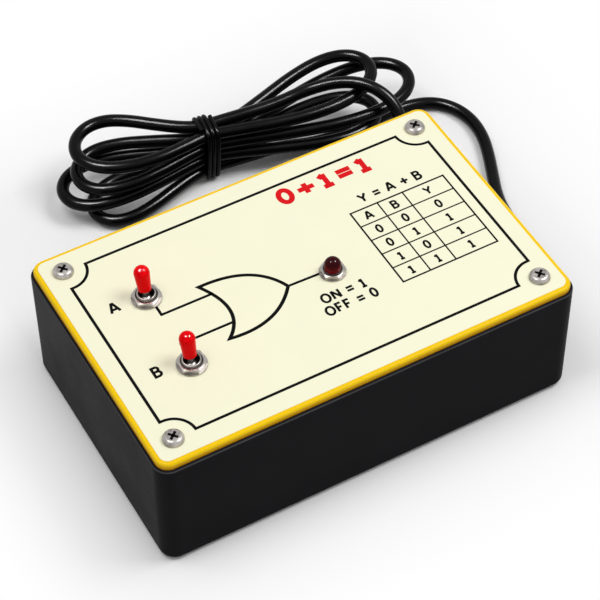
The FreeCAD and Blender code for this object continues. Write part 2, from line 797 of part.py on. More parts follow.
def rounded_path(points):
    """Straight runs through the points, each corner as large an arc as its shorter run allows."""
    points = [V(*p) for p in points]
    edges, radii = [], []
    at = points[0]
    for before, corner, after in zip(points, points[1:], points[2:]):
        run_in, run_out = corner - before, after - corner
        turn = run_in.getAngle(run_out)
        trim = cord_runs_share * min(run_in.Length, run_out.Length)
        start = corner - run_in.normalize() * trim
        end = corner + run_out.normalize() * trim
        edges.append(Part.LineSegment(at, start).toShape())
        edges.append(arc_from_tangent(start, run_in, end))
        radii.append(trim / math.tan(turn / 2))
        at = end
    edges.append(Part.LineSegment(at, points[-1]).toShape())
    return edges, radii


def biarc(start, start_way, end, end_way):
    """Two arcs that leave start along start_way and meet end along end_way."""
    ways = start_way + end_way
    chord = end - start
    spare = 4 - ways.dot(ways)
    along = chord.dot(ways)
    if spare < 1e-6:
        reach = chord.dot(chord) / (2 * along)
    else:
        reach = (math.sqrt(along * along + spare * chord.dot(chord)) - along) / spare
    joint = (start + start_way * reach + end - end_way * reach) * 0.5
    first = arc_from_tangent(start, start_way, joint)
    second = arc_from_tangent(end, end_way * -1, joint)
    second.reverse()
    return [first, second]


def swept(edges, radius):
    """Round tube along a path of edges."""
    wire = Part.Wire(Part.__sortEdges__(edges))
    first = edges[0]
    start = first.Vertexes[0].Point
    way = first.Vertexes[1].Point - start
    ring = Part.Wire([Part.Circle(start, way, radius).toShape()])
    return wire.makePipeShell([ring], True, False)


def path_points(edges, step):
    """Points along a path about a step apart, with their distance from its start."""
    found, walked = [], 0.0
    for edge in edges:
        count = max(2, int(edge.Length / step) + 1)
        row = edge.discretize(Number=count)
        if found and (row[-1] - found[-1][0]).Length < (row[0] - found[-1][0]).Length:
            row = row[::-1]
        found += [(p, walked + edge.Length * i / (count - 1)) for i, p in enumerate(row)]
        walked += edge.Length
    return found


def least_self_gap(edges, radius):
    """Least clear distance between stretches of one tube that are far apart along it."""
    points = path_points(edges, radius / 2)
    apart = 8 * radius
    least = math.inf
    for i, (p, along) in enumerate(points):
        for q, further in points[i + 1:]:
            if further - along > apart:
                least = min(least, (p - q).Length)
    return least - 2 * radius


def tell(name, edges, radius, tube, radii=None):
    length = sum(e.Length for e in edges)
    exact = math.pi * radius * radius * length
    print("%s: length %.1f, volume %.4f of section times length" % (name, length, tube.Volume / exact))
    if radii:
        print("   radii " + " ".join("%.1f" % r for r in radii))


def wire_group(routes):
    return Part.makeCompound([swept(rounded_path(route)[0], wire_radius) for route in routes])


def inner_wires():
    lug_end = body_bottom - terminal_length
    for letter, y in switch_places.items():
        routes = []
        for ty in terminal_places(y):
            landing_y = y + (ty - y) * switch_wire_fan_share
            landing_x = switch_x + switch_wire_reach
            routes.append([(switch_x, ty, lug_end), (switch_x, ty, lug_end - wire_drop),
                           (landing_x, landing_y, board_top + wire_rise), (landing_x, landing_y, board_top)])
        parts["switch_" + letter + "_wires"] = wire_group(routes)
    lead_end = panel_top + led_stand - led_height - led_lead_length
    routes = []
    for s in (-1, 1):
        x = lamp_x + s * led_lead_pitch / 2
        landing_x = board_right - lamp_wire_inset + s * led_lead_pitch * lamp_wire_fan_share
        landing = (landing_x, lamp_y - lamp_wire_reach)
        routes.append([(x, lamp_y, lead_end), (x, lamp_y, lead_end - wire_drop),
                       (*landing, board_top + wire_rise), (*landing, board_top)])
    parts["lamp_wires"] = wire_group(routes)
    coil_z = core_bottom + core_height / 2
    coil_reach = core_stack / 2 + winding_overhang
    routes = []
    for s in (-1, 1):
        y = transformer_y + s * supply_wire_pitch / 2
        x = transformer_x - coil_reach
        landing_x = board_right - supply_wire_reach
        routes.append([(x, y, coil_z), (x - supply_wire_reach, y, coil_z),
                       (landing_x, y, board_top + wire_rise), (landing_x, y, board_top)])
    parts["supply_wires"] = wire_group(routes)
    routes = []
    for s in (-1, 1):
        start = (grommet_inner_x(), grommet_y + s * mains_wire_pitch / 2, grommet_z)
        turn = (start[0] - mains_wire_reach / 2, start[1], start[2])
        tag_y = transformer_y + s * mains_tag_spread / 2
        tag_x = transformer_x + coil_reach
        routes.append([start, turn, (tag_x + mains_wire_reach, tag_y, coil_z), (tag_x, tag_y, coil_z)])
    parts["mains_wires"] = wire_group(routes)


def grommet_inner_x():
    return case_length / 2 - case_wall - grommet_tail_length


def cord_grommet():
    """Moulded grommet: a stepped tail inside, a neck in the wall, a flange and a tapered nose outside."""
    wall_in = -case_wall
    tail_end = wall_in - grommet_tail_length
    root_end = wall_in - grommet_root_length
    tip = grommet_flange_thickness + grommet_nose_length
    profile = [
        (tail_end, 0), (tail_end, grommet_tail_radius), (root_end, grommet_tail_radius),
        (root_end, grommet_root_radius), (wall_in, grommet_root_radius), (wall_in, grommet_neck_radius),
        (0, grommet_neck_radius), (0, grommet_flange_radius),
        (grommet_flange_thickness, grommet_flange_radius), (grommet_flange_thickness, grommet_nose_radius),
        (tip, grommet_nose_tip_radius), (tip, 0),
    ]
    return revolved(profile, V(case_length / 2, grommet_y, grommet_z), X_AXIS)


def hank_place(u, v, z):
    return tie_centre + hank_u * u + hank_v * v + Z_AXIS * z


def lobe_place(size, way, s, z_from, z_to):
    """Point of a lobe at share s of its way round: a teardrop on a bent axis, which climbs on its way out."""
    reach, sway, bow, droop = size
    out = (1 - math.cos(2 * math.pi * s)) / 2
    across = way * (strand_column * math.cos(math.pi * s) + bow * math.sin(2 * math.pi * s) * out)
    slope = 2 * sway * out / reach
    lean = math.hypot(1, slope)
    climb = out if s < 0.5 else 1.0
    along = reach * out - across * slope / lean
    z = z_from + (z_to - z_from) * climb + droop * out * out
    return hank_place(way * along, sway * out * out + across / lean, z)


def lobe_edges(size, way, z_from, z_to):
    """Biarcs round one lobe, which leaves and rejoins the tie along the hank."""
    def at(s):
        return lobe_place(size, way, s, z_from, z_to)

    nudge = 1e-4
    here, here_way = at(0), hank_u * way
    edges = []
    for s in lobe_node_shares:
        there = at(s)
        if s < 1:
            there_way = at(s + nudge) - at(s - nudge)
            there_way.normalize()
        else:
            there_way = hank_u * -way
        edges += biarc(here, here_way, there, there_way)
        here, here_way = there, there_way
    return edges


def hank_edges():
    reach = hank_end_runs[0]
    edges = [Part.LineSegment(hank_place(reach, -strand_column, strand_rows[0]),
                              hank_place(0, -strand_column, strand_rows[0])).toShape()]
    for i, row in enumerate(strand_rows):
        edges += lobe_edges(left_lobes[i], -1, row, row)
        if i < len(right_lobes):
            edges += lobe_edges(right_lobes[i], 1, row, strand_rows[i + 1])
    edges.append(Part.LineSegment(hank_place(0, strand_column, strand_rows[-1]),
                                  hank_place(reach, strand_column, strand_rows[-1])).toShape())
    return edges


def tie_edges():
    """Turns of a thin cord round the strands, a step along the hank on each tall side, with straight ends."""
    stand_off = cord_radius + tie_gap + tie_radius
    half_width = strand_column + cord_radius + tie_side_gap + tie_radius
    low, high = strand_rows[0] - stand_off, strand_rows[-1] + stand_off
    inner = half_width - tie_corner
    step = tie_pitch / 2
    u = -tie_pitch * tie_turns / 2
    edges = [Part.LineSegment(hank_place(u, -tie_end_run, high), hank_place(u, inner, high)).toShape()]
    diagonal = tie_corner * (1 - math.sqrt(0.5))
    for turn in range(tie_turns):
        for side, top, bottom in ((1, high, low), (-1, low, high)):
            fall = math.copysign(1, bottom - top)
            corner_in = [hank_place(u, side * inner, top),
                         hank_place(u, side * (half_width - diagonal), top + fall * diagonal),
                         hank_place(u, side * half_width, top + fall * tie_corner)]
            edges.append(Part.Arc(*corner_in).toShape())
            u += step
            corner_out = [hank_place(u, side * half_width, bottom - fall * tie_corner),
                          hank_place(u, side * (half_width - diagonal), bottom - fall * diagonal),
                          hank_place(u, side * inner, bottom)]
            edges += biarc(corner_in[-1], Z_AXIS * fall, corner_out[0], Z_AXIS * fall)
            edges.append(Part.Arc(*corner_out).toShape())
            last = turn == tie_turns - 1 and side == -1
            stop = tie_end_run if last else -side * inner
            edges.append(Part.LineSegment(corner_out[-1], hank_place(u, stop, bottom)).toShape())
    return edges


def cords():
    parts["cord_grommet"] = cord_grommet()
    low_ends = [tuple(hank_place(run, -strand_column, strand_rows[0])) for run in hank_end_runs]
    high_ends = [tuple(hank_place(run, strand_column, strand_rows[-1])) for run in hank_end_runs]
    lead, lead_radii = rounded_path(lead_route + low_ends[::-1])
    parts["cord_lead"] = swept(lead, cord_radius)
    tell("cord_lead", lead, cord_radius, parts["cord_lead"], lead_radii)
    hank = hank_edges()
    parts["cord_hank"] = swept(hank, cord_radius)
    tell("cord_hank", hank, cord_radius, parts["cord_hank"])
    print("   least self gap %.2f" % least_self_gap(hank, cord_radius))
    print("   tightest arc %.1f" % min(e.Curve.Radius for e in hank if hasattr(e.Curve, "Radius")))
    plug_entry = plug_front_x + plug_length + plug_relief_length
    entry_points = [(plug_entry + cord_diameter, plug_y, plug_z), (plug_entry, plug_y, plug_z)]
    tail, tail_radii = rounded_path(high_ends + tail_route + entry_points)
    parts["cord_tail"] = swept(tail, cord_radius)
    tell("cord_tail", tail, cord_radius, parts["cord_tail"], tail_radii)
    tie = tie_edges()
    parts["cord_tie"] = swept(tie, tie_radius)
    tell("cord_tie", tie, tie_radius, parts["cord_tie"])
    print("   least self gap %.2f" % least_self_gap(tie, tie_radius))
    total = sum(e.Length for e in lead + hank + tail)
    print("whole lead %.0f mm" % total)


def upright(wire, x):
    """Stand a flat outline across the X axis at x, at the plug's middle."""
    wire.rotate(V(0, 0, 0), Y_AXIS, 90)
    wire.translate(V(x, plug_y, plug_z))
    return wire


def plug():
    """Moulded two-pin plug: a body that narrows to a ringed relief, with two round pins."""
    front = upright(rounded_outline(plug_height, plug_width, plug_corner, 0), plug_front_x)
    back_x = plug_front_x + plug_length
    back = upright(rounded_outline(plug_back_height, plug_back_width, plug_corner, 0), back_x)
    body = Part.makeLoft([front, back], True)
    ends = [e for e in body.Edges if abs(e.BoundBox.XMin - e.BoundBox.XMax) < running_clearance]
    body = body.makeFillet(plug_edge_round, ends)
    pitch = plug_relief_length / plug_relief_rings
    groove_length = pitch * plug_relief_groove_share
    fall = (plug_relief_radius - plug_relief_tip_radius) / plug_relief_rings
    profile = [(0, 0), (0, plug_relief_radius)]
    for i in range(plug_relief_rings):
        radius = plug_relief_radius - fall * i
        along = pitch * i
        if i:
            groove = radius - plug_relief_groove
            profile += [(along, groove), (along + groove_length, groove), (along + groove_length, radius)]
        profile += [(along + pitch, radius - fall)]
    profile += [(plug_relief_length, 0)]
    relief = revolved(profile, V(back_x, plug_y, plug_z), X_AXIS)
    parts["plug_body"] = body.fuse(relief).removeSplitter()
    pins = []
    for s in (-1, 1):
        base = V(plug_front_x - pin_length, plug_y + s * pin_spacing / 2, plug_z)
        pin = Part.makeCylinder(pin_radius, pin_length, base, X_AXIS)
        tip = [e for e in pin.Edges if e.BoundBox.XMax < base.x + running_clearance]
        pins.append(pin.makeFillet(pin_tip_round, tip))
    parts["plug_pins"] = Part.makeCompound(pins)


def main():
    case()
    for letter, y in switch_places.items():
        toggle_switch(letter, y)
    output_lamp()
    circuit()
    transformer()
    inner_wires()
    cords()
    plug()
    os.makedirs("parts", exist_ok=True)
    for name, shape in parts.items():
        if not shape.isValid():
            raise ValueError(name + " is not a valid solid")
        shape.exportStep("parts/" + name + ".step")
    print(len(parts), "nodes")


main()
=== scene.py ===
import math
import bmesh
import bpy
from bpy.props import FloatProperty, FloatVectorProperty, IntProperty, PointerProperty
from mathutils import Matrix, Vector


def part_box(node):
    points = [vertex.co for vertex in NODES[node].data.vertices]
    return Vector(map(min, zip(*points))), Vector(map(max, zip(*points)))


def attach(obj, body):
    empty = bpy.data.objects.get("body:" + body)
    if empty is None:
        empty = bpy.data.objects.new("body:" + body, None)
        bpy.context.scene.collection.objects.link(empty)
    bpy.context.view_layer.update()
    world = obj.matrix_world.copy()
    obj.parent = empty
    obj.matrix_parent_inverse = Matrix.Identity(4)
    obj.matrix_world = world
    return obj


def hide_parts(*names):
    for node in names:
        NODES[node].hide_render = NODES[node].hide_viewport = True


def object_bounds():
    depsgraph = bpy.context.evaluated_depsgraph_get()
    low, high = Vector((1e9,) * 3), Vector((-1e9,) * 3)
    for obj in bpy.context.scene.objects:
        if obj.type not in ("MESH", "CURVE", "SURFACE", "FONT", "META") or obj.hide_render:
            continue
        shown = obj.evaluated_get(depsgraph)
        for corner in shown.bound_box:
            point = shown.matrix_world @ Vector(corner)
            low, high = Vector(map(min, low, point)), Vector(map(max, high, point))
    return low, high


bl_info = {
    "name": "Logic gate trainer",
    "version": (1, 0, 0),
    "blender": (4, 5, 0),
    "location": "3D View > Sidebar > Trainer",
    "description": "Dresses the packed logic gate trainer: lead, printed panel, finishes and studio",
    "category": "Object",
}

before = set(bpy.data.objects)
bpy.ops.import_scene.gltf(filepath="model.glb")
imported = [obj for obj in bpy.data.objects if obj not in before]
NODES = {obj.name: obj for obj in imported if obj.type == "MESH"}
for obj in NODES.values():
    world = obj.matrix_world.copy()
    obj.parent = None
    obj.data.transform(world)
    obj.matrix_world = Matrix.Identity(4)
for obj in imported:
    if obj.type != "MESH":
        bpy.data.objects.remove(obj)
CAD_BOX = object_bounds()
MM = 0.001
PANEL_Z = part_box("face_label")[1].z
POLISHED = "polished_pieces"


def tone(red, green, blue):
    """Linear colour of an sRGB colour given in 0 to 255."""
    def linear(v):
        v /= 255
        return v / 12.92 if v <= 0.04045 else ((v + 0.055) / 1.055) ** 2.4
    return (linear(red), linear(green), linear(blue), 1.0)


def length_prop(name, description, default):
    """Length in metres."""
    return FloatProperty(name=name, description=description, default=default, unit="LENGTH", precision=5)


def colour_prop(name, description, default):
    """Linear colour with its alpha."""
    return FloatVectorProperty(name=name, description=description, default=default, subtype="COLOR",
                               size=4, min=0.0, max=1.0)


def angle_prop(name, description, degrees):
    """Angle, given in degrees."""
    return FloatProperty(name=name, description=description, default=math.radians(degrees), subtype="ANGLE")


def place_prop(name, description, default):
    """Place in metres."""
    return FloatVectorProperty(name=name, description=description, default=default, subtype="XYZ",
                               unit="LENGTH", size=3, precision=5)


class PrintSettings(bpy.types.PropertyGroup):
    """Line widths, heights and inks of the printed panel"""
    ink_depth: length_prop("Ink depth", "How far the printing stands on the panel", 0.00004)
    ink_step: length_prop("Ink step", "How far each stroke stands above the one before it", 0.000002)
    border_line: length_prop("Border line", "Width of the notched border's line", 0.00102)
    gate_line: length_prop("Gate line", "Width of the gate symbol's outline", 0.00122)
    wire_line: length_prop("Wire line", "Width of the signal lines", 0.00095)
    table_line: length_prop("Table line", "Width of the table's inner rules", 0.00052)
    table_frame: length_prop("Table frame", "Width of the table's frame", 0.00062)
    figure_height: length_prop("Figure height", "Height of the table's figures", 0.0039)
    letter_height: length_prop("Letter height", "Height of the letters at the switches", 0.0047)
    caption_height: length_prop("Caption height", "Height of the captions", 0.0043)
    title_height: length_prop("Title height", "Height of the red title", 0.0076)
    weight: FloatProperty(name="Weight", description="Stroke of the figures as a share of their height",
                          default=0.2, min=0.05, max=0.4)
    title_weight: FloatProperty(name="Title weight", description="The title's stroke against the others'",
                                default=1.25, min=0.5, max=2.0)
    title_stretch: FloatProperty(name="Title stretch", description="How wide the title's figures are drawn",
                                 default=1.36, min=0.5, max=2.0)
    ink: colour_prop("Ink", "Colour of the lines and figures", tone(6, 6, 7))
    title_ink: colour_prop("Title ink", "Colour of the title", tone(222, 18, 26))


class LeadSettings(bpy.types.PropertyGroup):
    """Sizes and colour of the lead, its tie and its plug's grip"""
    diameter: length_prop("Lead", "Diameter of the lead", 0.0046)
    tie_diameter: length_prop("Tie", "Diameter of the cord that ties the hank", 0.0016)
    lobe_points: IntProperty(name="Lobe points", description="Control points on each lobe of the hank",
                             default=14, min=12)
    grip_ribs: IntProperty(name="Grip ribs", description="Ribs on each flank of the plug", default=7, min=1)
    sheath: colour_prop("Sheath", "Colour of the lead's sheath", tone(8, 8, 10))


class FinishSettings(bpy.types.PropertyGroup):
    """Colours of the trainer's finishes and the sizes of its screw recesses and threads"""
    box: colour_prop("Box", "Colour of the moulded box", tone(32, 32, 34))
    # Painted highlight: a lighter band on the box's rounded top edge stands in for the lamps' reflection
    # there
    rim_highlight: colour_prop("Rim", "Colour of the box's rubbed rim", tone(92, 92, 96))
    cover: colour_prop("Cover", "Colour of the cover plate", tone(250, 206, 4))
    # Painted shade: the cover's edge is darker towards its foot, as if shaded in the gap over the box
    cover_painted_shade: colour_prop("Cover's foot", "Deeper colour low on the cover's edge", tone(232, 150, 0))
    sheet: colour_prop("Panel sheet", "Colour of the printed sheet", tone(249, 247, 218))
    nickel: colour_prop("Nickel", "Colour of the plated nuts, bushes and screws", (0.38, 0.355, 0.335, 1.0))
    sleeve: colour_prop("Sleeve", "Colour of the levers' sleeves", tone(240, 0, 6))
    lamp: colour_prop("Lamp", "Colour of the lamp's epoxy", tone(52, 0, 6))
    # Painted glow: brighter red at the lamp's foot stands in for light through the epoxy, though the lamp
    # gives no light
    lamp_painted_glow: colour_prop("Lamp foot", "Colour of the lamp's foot, where light gathers", tone(138, 10, 22))
    # Sizes of the dark crosses of painted shade in the screw recesses
    recess_arm: length_prop("Recess arm", "Length of the cross in a screw head", 0.0029)
    recess_width: length_prop("Recess width", "Width of the cross's arms", 0.00085)
    recess_turn: angle_prop("Recess turn", "How far the crosses are turned", 40.0)
    thread_pitch: length_prop("Thread pitch", "Pitch of the thread on the switch bushes", 0.0004)


class StageSettings(bpy.types.PropertyGroup):
    """Floor, camera and lamps"""
    floor_size: length_prop("Floor", "Side of the floor", 4.0)
    fade: length_prop("Fade", "Distance from the object at which the floor is blank", 0.045)
    lens: FloatProperty(name="Lens", description="Focal length in millimetres", default=138.05)
    target: place_prop("Target", "What the camera looks at", (0.00653, 0.01266, 0.02))
    distance: length_prop("Distance", "From the camera to what it looks at", 0.77609)
    azimuth: angle_prop("Azimuth", "Turn of the camera round the upright, from the front", -28.86)
    height: angle_prop("Height", "Angle of the camera above the floor", 49.31)
    roll: angle_prop("Roll", "Tilt of the picture", -0.54)
    sky: FloatProperty(name="Sky", description="Strength of the even light from all round", default=0.45)
    bounce: FloatProperty(name="Bounce", description="Share of its light that the floor gives back",
                          default=0.5)
    right_lamp: place_prop("Right lamp", "Place of the key lamp and its glint", (0.55, -0.18, 0.95))
    left_lamp: place_prop("Left lamp", "Place of the fill lamp and its glint", (-0.3, 0.12, 0.95))
    key: FloatProperty(name="Key", description="Power of the right lamp in watts", default=4.6)
    fill: FloatProperty(name="Fill", description="Power of the left lamp in watts", default=2.4)
    glint: FloatProperty(name="Glint", description="Power of the lamps that only polished pieces mirror",
                         default=140.0)
    key_size: length_prop("Key size", "Side of the right lamp", 0.45)
    fill_size: length_prop("Fill size", "Side of the left lamp", 0.4)
    glint_size: length_prop("Glint size", "Side of the lamps that only polished pieces mirror", 0.3)


# Nodes and materials

def add_node(tree, kind, props=None, **inputs):
    """Add a node; an input is named as on the node, with _ for a space, and is a socket or a value."""
    made = tree.nodes.new(kind)
    for name, value in (props or {}).items():
        setattr(made, name, value)
    for name, value in inputs.items():
        put(tree, made.inputs[int(name[1:]) if name[1:].isdigit() else name.replace("_", " ")], value)
    return made


def node_out(tree, kind, props=None, **inputs):
    """Add a node in the same way and return its first output."""
    return add_node(tree, kind, props, **inputs).outputs[0]


def put(tree, socket, value):
    """Link an input to a socket, or set it to a value."""
    if isinstance(value, bpy.types.NodeSocket):
        tree.links.new(value, socket)
    else:
        socket.default_value = value


def shader_tree(name):
    """New material with its tree and its shader."""
    material = bpy.data.materials.new(name)
    material.use_nodes = True
    tree = material.node_tree
    shader = next(n for n in tree.nodes if n.type == "BSDF_PRINCIPLED")
    return material, tree, shader


def noise_of(tree, place, scale, detail=3.0, stretch=None):
    """Noise of so many grains per metre, drawn out along an axis by a stretch."""
    if stretch:
        place = node_out(tree, "ShaderNodeMapping", Vector=place, Scale=stretch)
    return add_node(tree, "ShaderNodeTexNoise", Vector=place, Scale=scale, Detail=detail).outputs["Fac"]


def spread(tree, value, low, high):
    """Map the middle of a noise to a range."""
    return node_out(tree, "ShaderNodeMapRange", Value=value, From_Min=0.3, From_Max=0.7,
                    To_Min=low, To_Max=high)


# Each finish: least and greatest roughness, grains per metre, their height in micrometres, the share by
# which its tone drifts, the grain's stretch, the drift's patches per metre, and the shader's other sockets
INSIDE_GRAIN = dict(grain=1400, depth=20, shift=0.08)
FINISHES = {
    "cord_sheath": dict(rough=(0.12, 0.18), grain=300, depth=1, shift=0.15, Specular_IOR_Level=0.07),
    "cord_rubber": dict(rough=(0.26, 0.42), grain=1800, depth=20, shift=0.12, Specular_IOR_Level=0.16),
    "pin_brass": dict(rough=(0.2, 0.36), grain=900, depth=10, stretch=(1, 8, 8), Metallic=1.0),
    "case_plastic": dict(rough=(0.3, 0.42), grain=1600, depth=20, shift=0.08, Specular_IOR_Level=0.009),
    "cover_plastic": dict(rough=(0.26, 0.34), grain=1200, depth=2, shift=0.015, Specular_IOR_Level=0.15),
    "label_print": dict(rough=(0.36, 0.48), grain=2200, depth=6, shift=0.008, Specular_IOR_Level=0.2),
    "screw_nickel": dict(rough=(0.2, 0.34), grain=2600, depth=10, shift=0.4, stretch=(1, 6, 1), patch=450,
                         Metallic=1.0),
    "recess_painted_shade": dict(rough=(0.6, 0.8), grain=1500, depth=10, Specular_IOR_Level=0.05),
    "panel_ink": dict(rough=(0.4, 0.55), grain=2600, depth=4, shift=0.1, Specular_IOR_Level=0.05),
    "title_ink": dict(rough=(0.4, 0.52), grain=2600, depth=4, shift=0.04, Specular_IOR_Level=0.1),
    "nickel_plate": dict(rough=(0.19, 0.3), grain=2400, depth=10, shift=0.2, patch=450, Metallic=1.0),
    "nickel_thread_painted_shade": dict(rough=(0.4, 0.55), grain=2400, depth=10, shift=0.3, Metallic=1.0),
    "lever_steel": dict(rough=(0.22, 0.38), grain=2000, depth=10, shift=0.1, stretch=(4, 4, 1), Metallic=1.0),
    "sleeve_plastic": dict(rough=(0.08, 0.16), grain=1500, depth=3, shift=0.05, Specular_IOR_Level=0.045),
    "switch_plastic": dict(rough=(0.4, 0.55), grain=1500, depth=20),
    "terminal_silver": dict(rough=(0.25, 0.4), grain=2200, depth=10, Metallic=1.0),
    "lamp_epoxy": dict(rough=(0.06, 0.1), grain=900, depth=1, shift=0.2, Specular_IOR_Level=0.06),
    "lamp_black": dict(rough=(0.4, 0.55), grain=1500, depth=10),
    "board_laminate": dict(rough=(0.35, 0.5), **INSIDE_GRAIN),
    "chip_black": dict(rough=(0.45, 0.6), **INSIDE_GRAIN),
    "capacitor_sleeve": dict(rough=(0.25, 0.4), **INSIDE_GRAIN),
    "resistor_lacquer": dict(rough=(0.35, 0.5), **INSIDE_GRAIN),
    "winding_tape": dict(rough=(0.3, 0.45), **INSIDE_GRAIN),
    "wire_insulation": dict(rough=(0.35, 0.5), **INSIDE_GRAIN),
    "core_iron": dict(rough=(0.4, 0.6), grain=1600, depth=40, shift=0.15, stretch=(1, 1, 12), Metallic=0.8),
}
MICRON = 0.000001
DRIFT_DETAIL, GRAIN_DETAIL = 4.0, 2.0
GRAIN_SHARE = 0.5
BUMP_STRENGTH = 0.6


def finished(name, colour):
    """New material with the finish of this name, in a colour."""
    return finish_material(name, colour, **FINISHES[name])


def finish_material(name, colour, rough, grain, depth, shift=0.06, stretch=None, patch=60.0, **sockets):
    """Finish with drifting tone and gloss over a fine grain."""
    material, tree, shader = shader_tree(name)
    place = add_node(tree, "ShaderNodeTexCoord").outputs["Object"]
    drift = noise_of(tree, place, patch, DRIFT_DETAIL)
    dark = [c * (1 - shift) for c in colour[:3]] + [1.0]
    light = [min(1.0, c * (1 + shift)) for c in colour[:3]] + [1.0]
    mixed = add_node(tree, "ShaderNodeMix", {"data_type": "RGBA"}, _0=spread(tree, drift, 0.0, 1.0),
                     _6=dark, _7=light).outputs[2]
    tree.links.new(mixed, shader.inputs["Base Color"])
    fine = noise_of(tree, place, grain, GRAIN_DETAIL, stretch)
    gloss = node_out(tree, "ShaderNodeMath", {"operation": "MULTIPLY_ADD"}, _0=fine, _1=GRAIN_SHARE,
                     _2=drift)
    tree.links.new(node_out(tree, "ShaderNodeMapRange", Value=gloss, From_Min=0.5, From_Max=1.0,
                            To_Min=rough[0], To_Max=rough[1]), shader.inputs["Roughness"])
    bump = node_out(tree, "ShaderNodeBump", Strength=BUMP_STRENGTH, Distance=depth * MICRON,
                    Height=fine)
    tree.links.new(bump, shader.inputs["Normal"])
    for socket, value in sockets.items():
        shader.inputs[socket.replace("_", " ")].default_value = value
    return material


def paint_light_band(material, height, reach, colour, patch=120.0, least=0.7):
    """Paint a colour in round a height, in patches that fade out over a reach: painted light or shade, here a
    painted highlight, a painted shade and a painted glow.
    """
    tree = material.node_tree
    shader = next(n for n in tree.nodes if n.type == "BSDF_PRINCIPLED")
    place = next(n for n in tree.nodes if n.type == "TEX_COORD").outputs["Object"]
    above = add_node(tree, "ShaderNodeSeparateXYZ", Vector=place).outputs["Z"]
    for operation, value in (("SUBTRACT", height), ("ABSOLUTE", 0.0)):
        above = node_out(tree, "ShaderNodeMath", {"operation": operation}, _0=above, _1=value)
    near = node_out(tree, "ShaderNodeMapRange", Value=above, From_Max=reach, To_Min=1.0, To_Max=0.0)
    share = node_out(tree, "ShaderNodeMath", {"operation": "MULTIPLY"}, _0=near,
                     _1=spread(tree, noise_of(tree, place, patch), least, 1.0))
    plain = shader.inputs["Base Color"].links[0].from_socket
    put(tree, shader.inputs["Base Color"], add_node(tree, "ShaderNodeMix", {"data_type": "RGBA"}, _0=share,
                                                    _6=plain, _7=colour).outputs[2])


def dress(material, *names):
    """Give CAD nodes a material."""
    for name in names:
        node = NODES[name]
        if not node.material_slots:
            node.data.materials.append(material)
        for held in node.material_slots:
            held.material = material


# Geometry

def add_piece(name, mesh, body, material=None):
    """New piece on a body, with the slot that its finish belongs to."""
    piece = bpy.data.objects.new(name, mesh)
    bpy.context.scene.collection.objects.link(piece)
    if material:
        mesh.materials.clear()
        mesh.materials.append(material)
    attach(piece, body)
    return piece


def geometry_tree(name, sizes):
    """Empty node group with a geometry input and output and named sizes; returns it and its group input."""
    tree = bpy.data.node_groups.new(name, "GeometryNodeTree")
    tree.interface.new_socket("Geometry", in_out="INPUT", socket_type="NodeSocketGeometry")
    for label, kind in sizes:
        tree.interface.new_socket(label, in_out="INPUT", socket_type="NodeSocket" + kind)
    tree.interface.new_socket("Geometry", in_out="OUTPUT", socket_type="NodeSocketGeometry")
    return tree, tree.nodes.new("NodeGroupInput").outputs


def close_tree(tree, geometry, material, smooth=True):
    """End a tree in realised, shaded geometry with its material."""
    solid = node_out(tree, "GeometryNodeRealizeInstances", Geometry=geometry)
    shaded = node_out(tree, "GeometryNodeSetShadeSmooth", Geometry=solid, Shade_Smooth=smooth)
    painted = node_out(tree, "GeometryNodeSetMaterial", Geometry=shaded, Material=material)
    tree.links.new(painted, tree.nodes.new("NodeGroupOutput").inputs[0])


def grown_mesh(name, tree, values, carrier=None):
    """Run a tree on a carrier object, or on an empty mesh, and return the result as a plain mesh."""
    if carrier is None:
        carrier = bpy.data.objects.new(name + "_carrier", bpy.data.meshes.new(name + "_carrier"))
    bpy.context.scene.collection.objects.link(carrier)
    modifier = carrier.modifiers.new(name, "NODES")
    modifier.node_group = tree
    for item in tree.interface.items_tree:
        if item.in_out == "INPUT" and item.name in values:
            modifier[item.identifier] = values[item.name]
    graph = bpy.context.evaluated_depsgraph_get()
    mesh = bpy.data.meshes.new_from_object(carrier.evaluated_get(graph))
    mesh.name = name
    carrier.modifiers.remove(modifier)
    bpy.data.objects.remove(carrier)
    if not mesh.polygons:
        raise RuntimeError(name + " came out empty")
    return mesh


MITRE_LIMIT = 0.35


def closed_strip(bm, points, width, low, high, closed=False):
    """Flat line of a width along points, mitred at its corners, as a closed slab from low to high."""
    count = len(points)
    sections = []
    for i, p in enumerate(points):
        ways = []
        if closed or i:
            ways.append((p - points[i - 1]).normalized())
        if closed or i < count - 1:
            ways.append((points[(i + 1) % count] - p).normalized())
        sides = [Vector((-w.y, w.x)) for w in ways]
        side = sum(sides, Vector((0, 0))).normalized()
        reach = width / 2 / max(MITRE_LIMIT, side.dot(sides[0]))
        left, right = p + side * reach, p - side * reach
        sections.append([bm.verts.new((q.x, q.y, z)) for q, z in
                         ((left, high), (right, high), (right, low), (left, low))])
    for i in range(count if closed else count - 1):
        a, b = sections[i], sections[(i + 1) % count]
        for k in range(4):
            bm.faces.new((a[k], a[(k + 1) % 4], b[(k + 1) % 4], b[k]))
    if not closed:
        bm.faces.new(sections[0][::-1])
        bm.faces.new(sections[-1])


def bend_points(start, handle, end, count=24):
    """Points of the curve from start to end that leaves and arrives along its handle, without the last."""
    start, handle, end = Vector(start), Vector(handle), Vector(end)
    shares = [k / count for k in range(count)]
    return [start.lerp(handle, s).lerp(handle.lerp(end, s), s) for s in shares]


def millimetres(points):
    """Points given in millimetres, in metres."""
    return [Vector(p) * MM for p in points]


def mesh_of(bm, name):
    """Mesh of a bmesh, with its faces outwards."""
    bmesh.ops.recalc_face_normals(bm, faces=bm.faces)
    mesh = bpy.data.meshes.new(name)
    bm.to_mesh(mesh)
    bm.free()
    return mesh


